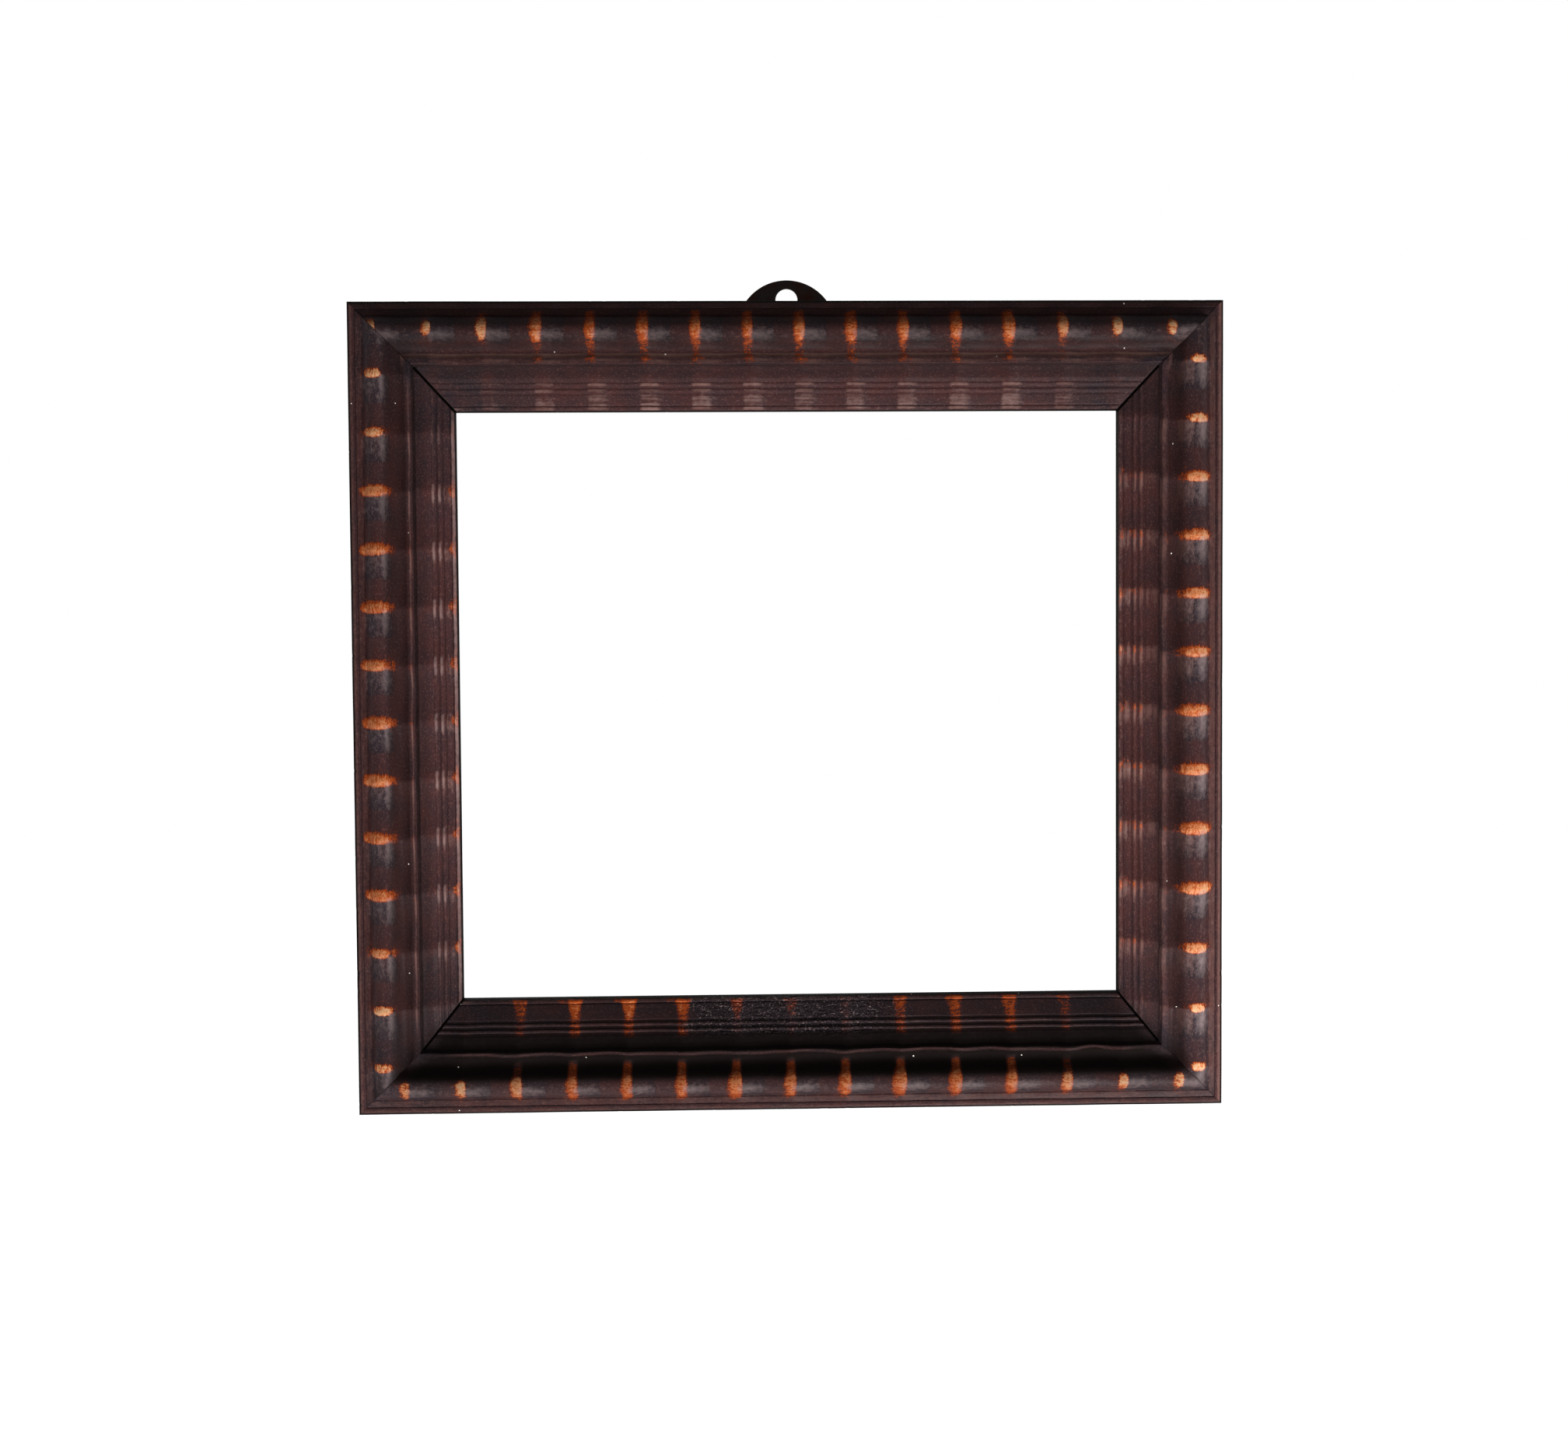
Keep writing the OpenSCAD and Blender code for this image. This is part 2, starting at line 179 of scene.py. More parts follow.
class MouldingSizes(bpy.types.PropertyGroup):
    """Sizes of the mouldings' section, across a rail."""

    strip_bevel: length("Strip bevel", "Bevel along the outer front edges of the edge strips", 1.2)
    shoulder_w: length("Shoulder width", "Slope between edge strip and half round", 4.7)
    shoulder_h: length("Shoulder height", "Height of the shoulder above the wall, at the strip", 24.2)
    shoulder_rise: length("Shoulder rise", "How far the shoulder climbs to the half round", 1.6)
    quirk_w: length("Quirk width", "Small groove between shoulder and half round", 1.2)
    quirk_d: length("Quirk depth", "Depth of the small groove", 0.2)
    round_r: length("Half round", "Radius of the big half round", 7.6)
    round_start: turn("Half round's start", "How far above its middle the half round starts", 18)
    round_end: turn("Half round's end", "How far above its middle the half round ends", 42)
    hollow_w: length("Hollow width", "Width of the hollow beside the half round", 7.4)
    hollow_d: length("Hollow depth", "Depth of the hollow below its two edges", 1.9)
    fillet_w: length("Fillet width", "Width of the narrow raised fillet", 3.3)
    fillet_h: length("Fillet height", "Height of the fillet above the wall", 26.3)
    fillet_side: length("Fillet side", "Height of the fillet above the hollow's edge", 0.25)
    fillet_wave: length("Fillet wave", "How far the fillet swings from a straight line", 0.3)
    seam_h: length("Seam height", "Height where the two mouldings meet", 24.5)
    lip_t: length("Lip", "Thickness of the lip at the sight edge", 6)
    plain_w: length("Plain slope", "Width of the slope between the outer moulding and the reeds", 8)
    reed_w: length("Reed width", "Width of each reed", 1.9)
    reed_h: length("Reed height", "Height of the reeds above the slope", 0.4)
    groove_w: length("Groove width", "Width of the groove beside each reed", 1.2)
    groove_d: length("Groove depth", "Depth of the grooves below the slope", 0.4)
    bead_w: length("Bead width", "Width of the bead along the sight edge", 2.6)
    bead_h: length("Bead height", "Height of the bead above the slope", 0.5)
    swell: length("Swell", "How much the plain part of the slope sags and swells", 0.4)
    ease: length("Easing", "How far the arrises are rounded", 0.5)
    mitre_gap: length("Mitre gap", "Width of the open joint at the inner mitres", 0.5)
    mitre_depth: length("Mitre depth", "How deep the open joint looks", 3)
    hook_room_r: length("Hook room", "Radius of the room for the hook in front of the hole", 6.3)
    hook_room_d: length("Hook room depth", "Depth of that room, from the wall", 12)


class RippleSizes(bpy.types.PropertyGroup):
    """Places and depths of the ripples along the rails."""

    outer_depth: length("Outer ripple", "Depth of the scallops on the half round", 1.6)
    sight_depth: length("Sight ripple", "Depth of the scallops on the slope", 1.3)
    softness: length("Softness", "How far the ridges are worn round", 0.8)
    wander: length("Wander", "How far a ridge strays from a straight line across the rail", 0.5)
    pitches: four_lengths("Pitches", "Spacing of the ridges", (28.9, 30.75, 27.55, 29.85))
    firsts: four_lengths(
        "First ridges", "Distance of the first ridge from its corner", (24.2, 23.1, 27.8, 37.8)
    )
    sways: four_lengths("Sways", "How far the ridges stray from even spacing", (1.2, 1.2, 2.3, 0.3))
    sway_turns: four(
        "Sway turns",
        "Where along each rail the straying starts",
        [math.radians(angle) for angle in (52, -84, -7, -24)],
        subtype="EULER",
        unit="ROTATION",
    )
    outer_shifts: four_lengths(
        "Outer shifts",
        "How far the ridges of the half round lie towards their lit flanks",
        (0.6, 0.8, 0.3, 0.4),
    )
    sight_shifts: four_lengths(
        "Sight shifts", "The same for the ridges of the slope", (1.0, -1.8, 1.2, -0.8)
    )


class WearLevels(bpy.types.PropertyGroup):
    """How the finish is worn on each side. Distances run inwards from the outer edge."""

    patch_at: four_lengths(
        "Patch place", "Middle of the bare patches on the half round", (16.1, 15.8, 14.6, 13.2)
    )
    patch_reach: four_lengths(
        "Patch reach", "How far a patch reaches across the rail from its middle", (6.0, 6.8, 7.2, 7.0)
    )
    patch_flank: four_lengths(
        "Patch flank", "How far a patch reaches down the ridge's shaded flank", (3.6, 3.1, 3.4, 3.0)
    )
    tail: four("Tails", "Wear that runs from the patches into the hollow", (0.76, 0.4, 0.38, 0.3))
    tail_end: four_lengths("Tail end", "Where the tails start to fade out", (24, 23.5, 26, 21))
    # The pale line along the half round is a painted highlight.
    highlight_streak_at: four_lengths(
        "Streak place", "Where the pale streak runs along the half round", (13.2, 12.2, 18.2, 18.8)
    )
    highlight_streak: four("Streak", "Strength of the pale streak", (0.36, 0.38, 0.36, 0.28))
    fillet: four("Fillet", "How much the fillet is rubbed", (0.2, 0.36, 0.5, 0.6))
    # How much each rail is darkened; the darkening also carries painted shade.
    outer_light: four(
        "Outer lightness", "What soot leaves of the outer moulding's colours", (0.46, 0.85, 0.58, 0.9)
    )
    sight_reach: four_lengths(
        "Sight patch reach", "How far the patches reach out from the sight edge", (10.8, 9.0, 2.5, 4.0)
    )
    sight_patch: four("Sight patches", "Strength of those at the sight edge", (1.0, 0.3, 0.24, 0.6))
    sight_light: four(
        "Sight lightness", "What soot leaves of the sight moulding's colours", (0.38, 0.96, 0.72, 1.0)
    )


class FinishColours(bpy.types.PropertyGroup):
    """Colours of the stained, worn and bare surfaces."""

    blue_black: colour("Blue black", "Stain in the middle of the scallops", 45, 37, 42)
    brown_black: colour("Brown black", "Stain where it has thinned", 71, 42, 41)
    rubbed: colour("Rubbed", "Stain rubbed thin and dusty on narrow edges", 128, 94, 86)
    # Painted highlight colour: the shine of the varnish along edges and crests.
    bloom: colour("Bloom", "Pale bloom where the varnish shines along an edge", 152, 133, 133)
    deep_red: colour("Deep red", "Stain rubbed nearly through", 94, 34, 16)
    orange: colour("Orange", "Wood laid bare on the ridges", 162, 70, 28)
    light_orange: colour("Light orange", "Wood polished by handling", 206, 124, 76)
    tan: colour("Tan", "Dry bare wood near the corners", 216, 168, 124)
    # This near-black is also the colour of painted shade in hollows, steps, grooves and on the inner
    # face, and of each rail's darkening.
    dirt: colour("Dirt", "Old dirt in the grooves and joints", 12, 8, 7)
    speck: colour("Specks", "Small splashes and chips", 225, 218, 208)
    pine_light: colour("Pine, light", "Early wood of the carcass", 190, 148, 98)
    pine_dark: colour("Pine, dark", "Late wood of the carcass", 132, 86, 48)
    peg: colour("Pegs", "End grain of the pegs", 112, 74, 42)
    iron: colour("Iron", "Dark paint on the hanger plate", 25, 16, 14)
    rust: colour("Rust", "Rust that shows through the paint", 62, 34, 24)
    steel: colour("Steel", "Browned steel of screws and brads", 104, 96, 88)


class StudioSizes(bpy.types.PropertyGroup):
    """Camera, lamps and floor."""

    focal_mm: FloatProperty(
        name="Focal length", description="Lens on a 36 mm sensor", default=40.18, min=10
    )
    camera_at: point("Camera", "Place of the camera from the frame's middle", -0.0272, -0.9350, 0.0298)
    aim_at: point("Aim", "Point on the wall that the camera looks at", -0.0028, 0, -0.0043)
    roll: turn("Roll", "Turn of the camera about its own axis", -0.399)
    lower_at: lamp_place("Lower lamp", 0.31, -0.61, -0.98)
    lower_level: lamp_level("Lower level", 0.95)
    right_at: lamp_place("Right lamp", 0.78, -0.62, -0.66)
    right_level: lamp_level("Right level", 0.72)
    left_at: lamp_place("Left lamp", -0.78, -0.69, -0.78)
    left_level: lamp_level("Left level", 0.6)
    back_at: lamp_place("Back lamp", -0.9, 1.5, 0.9)
    back_level: lamp_level("Back level", 0.8)
    fill: FloatProperty(name="Fill", description="Brightness of the room's even light", default=0.1)
    floor_drop: FloatProperty(
        name="Floor", description="Distance of the floor below the frame", default=1.2, unit="LENGTH"
    )


def setting(group):
    """One of the scene's groups of sizes or colours."""
    return getattr(bpy.context.scene, "ripple_frame_" + group)


# Shapes


def smooth_step(x, low, high):
    """0 below low and 1 above high, with an S-shaped curve between them."""
    share = np.clip((x - low) / (high - low), 0, 1)
    return share * share * (3 - 2 * share)


def hump(x, middle, width, power=2):
    """1 at the middle, falling on both sides as a bell curve, flatter on top for a higher power."""
    return np.exp(-np.abs((x - middle) / width) ** power)


def lerp(low, high, share):
    """A value between low and high."""
    return low + (high - low) * share


def value_noise(x, y, cell_x, cell_y, seed):
    """Smooth noise from -1 to 1: random values on a grid of cells, blended by S-curves between them."""
    i = x / cell_x
    j = y / cell_y
    i0 = np.floor(i).astype(int)
    j0 = np.floor(j).astype(int)
    grid_shape = (i0.max() - i0.min() + 2, j0.max() - j0.min() + 2)
    grid = np.random.default_rng(seed).uniform(-1, 1, grid_shape)
    fi = smooth_step(i - i0, 0, 1)
    fj = smooth_step(j - j0, 0, 1)
    a = i0 - i0.min()
    b = j0 - j0.min()
    near = lerp(grid[a, b], grid[a + 1, b], fi)
    far = lerp(grid[a, b + 1], grid[a + 1, b + 1], fi)
    return lerp(near, far, fj)


def noise_along(s, cell, seed):
    """Smooth noise from -1 to 1 that changes only along the rail."""
    return value_noise(s, 0 * s, cell, 1, seed)


def eased_section(points, spacing, ease):
    """A section sampled at an even spacing, with its corners rounded by a running average."""
    points = np.array(points, float)
    steps = np.hypot(*np.diff(points, axis=0).T)
    along = np.concatenate([[0], np.cumsum(steps)])
    count = int(math.ceil(along[-1] / spacing)) + 1
    even = np.linspace(0, along[-1], count)
    dense = np.stack([np.interp(even, along, points[:, 0]), np.interp(even, along, points[:, 1])])
    reach = max(1, int(round(ease / spacing)))
    window = np.hanning(2 * reach + 3)[1:-1]
    window /= window.sum()
    before = 2 * dense[:, :1] - dense[:, reach:0:-1]
    after = 2 * dense[:, -1:] - dense[:, -2 : -reach - 2 : -1]
    padded = np.concatenate([before, dense, after], axis=1)
    return np.stack([np.convolve(row, window, mode="valid") for row in padded])


class Places:
    """Where the parts of a section lie, inwards from the outer edge, and their heights above the wall."""

    def __init__(self):
        m = setting("moulding")
        self.shoulder_end = STRIP_T + m.shoulder_w
        self.round_u = self.shoulder_end + m.round_r * math.cos(m.round_start)
        self.round_h = CREST_H - m.round_r
        self.hollow_u = self.round_u + m.round_r * math.cos(m.round_end)
        self.fillet_u = self.hollow_u + m.hollow_w
        self.fillet_end = self.fillet_u + m.fillet_w
        self.fillet_mid = self.fillet_u + m.fillet_w / 2
        self.reed1_u = SEAM_U + m.plain_w
        self.reed2_u = self.reed1_u + m.reed_w + m.groove_w
        self.flat_u = self.reed2_u + m.reed_w + m.groove_w
        self.sight_h = BASE_T + m.lip_t


def outer_section():
    """Front of the outer moulding, from the edge strip to the seam.

    It has a shoulder, a quirk, a half round, a hollow and a fillet. The half round is an arc, and the
    hollow a straight fall with a half sine wave taken off it.
    """
    m = setting("moulding")
    at = Places()
    end_h = m.fillet_h - m.fillet_side
    quirk_h = m.shoulder_h + m.shoulder_rise
    angles = np.linspace(math.pi - m.round_start, m.round_end, 33)
    share = np.linspace(0, 1, 13)[1:]
    shoulder = [
        (STRIP_T, m.shoulder_h - 0.3 * m.ease),
        (STRIP_T + 0.5 * m.ease, m.shoulder_h),
        (at.shoulder_end - m.quirk_w, quirk_h),
        (at.shoulder_end - m.quirk_w / 2, quirk_h - m.quirk_d),
    ]
    round_h = at.round_h + m.round_r * np.sin(angles)
    half_round = np.column_stack([at.round_u + m.round_r * np.cos(angles), round_h])
    hollow_h = lerp(round_h[-1], end_h, share) - m.hollow_d * np.sin(math.pi * share)
    hollow = np.column_stack([at.hollow_u + m.hollow_w * share, hollow_h])
    fillet = [
        (at.fillet_u + m.ease / 2, m.fillet_h),
        (at.fillet_end, m.fillet_h),
        (lerp(at.fillet_end, SEAM_U, 0.5), m.seam_h + m.ease),
        (SEAM_U, m.seam_h),
    ]
    return np.concatenate([shoulder, half_round, hollow, fillet])


def sight_section(rail):
    """Front of a sight moulding, from the seam to the sight edge: plain slope, two reeds, flat and bead.

    Its relief is worn down somewhat, most of all on the top rail.
    """
    m = setting("moulding")
    at = Places()
    bead_u = rail.width - m.bead_w
    kept = at_side(rail, 0.9, 0.9, 0.5, 0.9)

    def on_slope(u, rise):
        """A point that rises from the straight slope between seam and sight edge."""
        share = (u - SEAM_U) / (rail.width - SEAM_U)
        return (u, lerp(m.seam_h, at.sight_h, share) + kept * rise)

    def reed(u):
        """A reed that starts at u, and the groove after it."""
        end = u + m.reed_w
        return [
            on_slope(u, -m.reed_h / 2),
            on_slope(u + m.reed_w / 4, m.reed_h),
            on_slope(end - m.reed_w / 4, m.reed_h),
            on_slope(end, -m.groove_d),
            on_slope(end + m.groove_w * 3 / 4, -m.groove_d),
        ]

    plain = [
        on_slope(SEAM_U, -m.ease),
        on_slope(SEAM_U + m.plain_w * 0.3, -m.swell),
        on_slope(SEAM_U + m.plain_w * 0.75, m.swell),
    ]
    bead = [
        on_slope(at.flat_u, 0),
        on_slope(bead_u - m.ease, 0),
        on_slope(bead_u, -m.ease),
        on_slope(bead_u + m.bead_w / 4, m.bead_h),
        on_slope(rail.width - m.bead_w / 4, m.bead_h),
        (rail.width, at.sight_h - m.ease),
    ]
    return np.array(plain + reed(at.reed1_u) + reed(at.reed2_u) + bead)


class Rail:
    """One side of the frame: its length, its ridges and where its points lie."""

    def __init__(self, side, shifts=(0, 0, 0, 0)):
        ripple = setting("ripple")
        flat = side in (BOTTOM, TOP)
        self.side = side
        self.name = SIDES[side]
        self.width = RAIL_W[side]
        self.length = FRAME_W if flat else FRAME_H
        self.across = FRAME_H if flat else FRAME_W
        # The ridges' shaded flanks look towards the rail's start or its end.
        self.shade = 1 if side in (RIGHT, TOP) else -1
        first = ripple.firsts[side]
        pitch = ripple.pitches[side]
        before = math.ceil(first / pitch) + 1
        after = math.ceil((self.length - first) / pitch) + 1
        even = first + pitch * np.arange(-before, after + 1)
        wave = 2 * math.pi * even / self.length + ripple.sway_turns[side]
        self.ridges = even + ripple.sways[side] * np.sin(wave) - self.shade * shifts[side]
        self.start_rate = self.mitre_rate((side - 1) % 4)
        self.end_rate = self.mitre_rate((side + 1) % 4)

    def mitre_rate(self, neighbour):
        """How far the inner mitre runs along the rail for each step inwards, from both rails' widths."""
        return (RAIL_W[neighbour] - SEAM_U) / (self.width - SEAM_U)

    def ends(self, u):
        """Distances of both mitres from the rail's ends, at a distance u inwards."""
        inner = np.maximum(u - SEAM_U, 0)
        outer = np.minimum(u, SEAM_U)
        return outer + self.start_rate * inner, outer + self.end_rate * inner

    def place(self, s, u, h):
        """Points in space from s along the rail, u inwards from its outer edge and h above the wall."""
        quarter = self.side * math.pi / 2
        cos, sin = round(math.cos(quarter)), round(math.sin(quarter))
        along = s - self.length / 2
        inwards = u - self.across / 2
        x = MIDDLE.x + cos * along - sin * inwards
        z = MIDDLE.z + sin * along + cos * inwards
        return np.stack(np.broadcast_arrays(x, -h, z), axis=-1)

    def later(self, s):
        """0 on the first half of the rail, growing to 1 near its end."""
        return smooth_step(s, 0.45 * self.length, 0.95 * self.length)

    def nearest_ridge(self, s):
        """Number of the ridge that is nearest to s."""
        middles = (self.ridges[1:] + self.ridges[:-1]) / 2
        return np.searchsorted(middles, s)

    def past_ridge(self, s):
        """Distance from the nearest ridge, counted towards its lit flank."""
        return -self.shade * (s - self.ridges[self.nearest_ridge(s)])

    def rippled(self, s, h, depth, top_h):
        """Height h of the section, cut by the scallops.

        Between two ridges the section turns about an axis in front of the rail, so each of its points
        lies on a circle, and the lower the point the larger its circle. Near a ridge the distance from
        the ridge is eased by a hyperbola, which rounds the ridge off.
        """
        soft = setting("ripple").softness
        k = np.clip(np.searchsorted(self.ridges, s) - 1, 0, len(self.ridges) - 2)
        half = (self.ridges[k + 1] - self.ridges[k]) / 2
        away = half - np.abs(s - self.ridges[k] - half)
        eased = (np.hypot(away, soft) - soft) * half / (np.hypot(half, soft) - soft)
        radius = (half**2 + depth**2) / (2 * depth)
        own = radius + top_h - h
        return h - depth + own - np.sqrt(own**2 - (half - eased) ** 2)


def mitred_grid(rail, u, end_steps, spacing):
    """Distances along the rail of every point of a section with distances u, from mitre to mitre.

    Each point runs in equal shares from its own place on one mitre to its place on the other, with
    extra rows at end_steps from the mitres.
    """
    start, end = rail.ends(u)
    span = rail.length - start - end
    count = int(span.min() / spacing)
    steps = np.array(end_steps) / span.min()
    first = steps[-1] if len(steps) else 0
    middle = np.linspace(first, 1 - first, count)
    shares = np.unique(np.concatenate([[0], steps, middle, 1 - steps, [1]]).round(9))
    return start[None, :] + shares[:, None] * span[None, :]


def add_piece(mesh, node, material):
    """Adds the finished mesh that stands in for a CAD node."""
    mesh.materials.append(material)
    piece = bpy.data.objects.new(mesh.name, mesh)
    bpy.context.scene.collection.objects.link(piece)
    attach(piece, "root")
    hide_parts(node)
    return piece


def build_piece(node, ending, rail, surface, material, layers):
    """Builds a closed piece from rings of points round the rail, with a flat cap on each end ring.

    The surface is three arrays, s, u and h, by ring and point. Each face joins two neighbouring points of
    one ring with the same two of the next, and the layers are stored point by point.
    """
    points = rail.place(*surface)
    rings, around, _ = points.shape
    index = np.arange(rings * around).reshape(rings, around)
    following = np.roll(index, -1, axis=1)
    sides = np.stack([index[:-1], index[1:], following[1:], following[:-1]], axis=-1).reshape(-1, 4)
    corners = np.concatenate([sides.reshape(-1), index[0], index[-1][::-1]])
    starts = np.concatenate([np.arange(len(sides)) * 4, len(sides) * 4 + np.array([0, around])])
    mesh = bpy.data.meshes.new(node + ending)
    mesh.vertices.add(rings * around)
    mesh.vertices.foreach_set("co", points.reshape(-1).astype(np.float32))
    mesh.loops.add(len(corners))
    mesh.loops.foreach_set("vertex_index", corners.astype(np.int32))
    mesh.polygons.add(len(starts))
    mesh.polygons.foreach_set("loop_start", starts.astype(np.int32))
    uv = surface_map(*surface).reshape(-1, 2)[corners]
    mesh.uv_layers.new(name="Surface").data.foreach_set("uv", uv.reshape(-1).astype(np.float32))
    for title, values in layers.items():
        attribute = mesh.attributes.new(title, "FLOAT", "POINT")
        attribute.data.foreach_set("value", values.reshape(-1).astype(np.float32))
    mesh.update(calc_edges=True)
    mesh.validate()
    turn_outwards(mesh)
    mesh.shade_smooth()
    mesh.set_sharp_from_angle(angle=MOULDING_EDGE_ANGLE)
    add_piece(mesh, node, material)


def turn_outwards(mesh):
    """Turns every face of a closed mesh outwards."""
    shell = bmesh.new()
    shell.from_mesh(mesh)
    bmesh.ops.recalc_face_normals(shell, faces=shell.faces)
    shell.to_mesh(mesh)
    shell.free()


def with_back(values, behind_end=None, behind_start=None):
    """Adds two back corners to each row of a front surface's values: behind its end and behind its start.

    A back corner without a value of its own repeats the row's last or first value.
    """
    end = values[:, -1:] if behind_end is None else np.full((len(values), 1), behind_end)
    start = values[:, :1] if behind_start is None else np.full((len(values), 1), behind_start)
    return np.concatenate([values, end, start], axis=1)


def surface_map(s, u, h):
    """UV in metres: the distance along the rail and the distance walked over the section."""
    steps = np.hypot(np.diff(u, axis=1), np.diff(h, axis=1))
    walked = np.concatenate([np.zeros((len(s), 1)), np.cumsum(steps, axis=1)], axis=1)
    return np.stack([s, walked], axis=-1)


def plateau(x, low, high, low_edge, high_edge):
    """1 between low and high, falling to 0 over the two edges beyond them."""
    return smooth_step(x, low - low_edge, low) * (1 - smooth_step(x, high, high + high_edge))


def at_side(rail, bottom, right, top, left):
    """The one of four values that belongs to a rail's side."""
    return (bottom, right, top, left)[rail.side]


def over_mitres(rail, s, u, reach):
    """A function like at_side, whose values run over into the next rail's within reach of a mitre."""
    start, end = rail.ends(u)
    before = 0.5 * (1 - smooth_step(s - start, 0, reach))
    after = 0.5 * (1 - smooth_step(rail.length - end - s, 0, reach))

    def values(*each):
        """The value at each point, from those of the bottom, right, top and left rail."""
        own, previous, following = (each[(rail.side + step) % 4] for step in (0, -1, 1))
        return own + before * (previous - own) + after * (following - own)

    return values


def oval(a, b, edge):
    """1 inside an oval and 0 outside it, with its rim blurred by edge on both sides.

    On the rim the sum of a and b, each raised to the same power, is 1. A power of 2 gives an ellipse, and
    this one is a little squarer.
    """
    power = 2.6
    reach = (np.abs(a) ** power + np.abs(b) ** power) ** (1 / power)
    return 1 - smooth_step(reach, 1 - edge, 1 + edge)


class Ridges:
    """The ridge nearest to each point: how far past it the point lies, and how the ridge is worn."""

    def __init__(self, rail, s, seed):
        chance = np.random.default_rng(seed + rail.side)
        count = len(rail.ridges)
        number = rail.nearest_ridge(s)
        self.past = rail.past_ridge(s)
        self.size = chance.uniform(0.85, 1.15, count)[number]
        self.shift = chance.uniform(-1, 1, count)[number]
        self.at = rail.ridges[number]
        self.from_corner = np.minimum(self.at, rail.length - self.at)
        weaker = chance.uniform(0.6, 0.95, count)[number]
        strength = chance.uniform(0.8, 1.1, count)[number]
        self.strength = lerp(weaker, strength, smooth_step(self.from_corner, 25 * MM, 70 * MM))

    def lit(self, start, end, fade):
        """1 on the lit flank between two distances past the ridge, fading out beyond the second."""
        return plateau(self.past, start, end, 1.5 * MM, fade)


def fillet_swing(rail, s):
    """How the fillet swings from side to side along its rail, from -1 to 1."""
    return noise_along(s, 11 * MM, FILLET_SEED + rail.side)


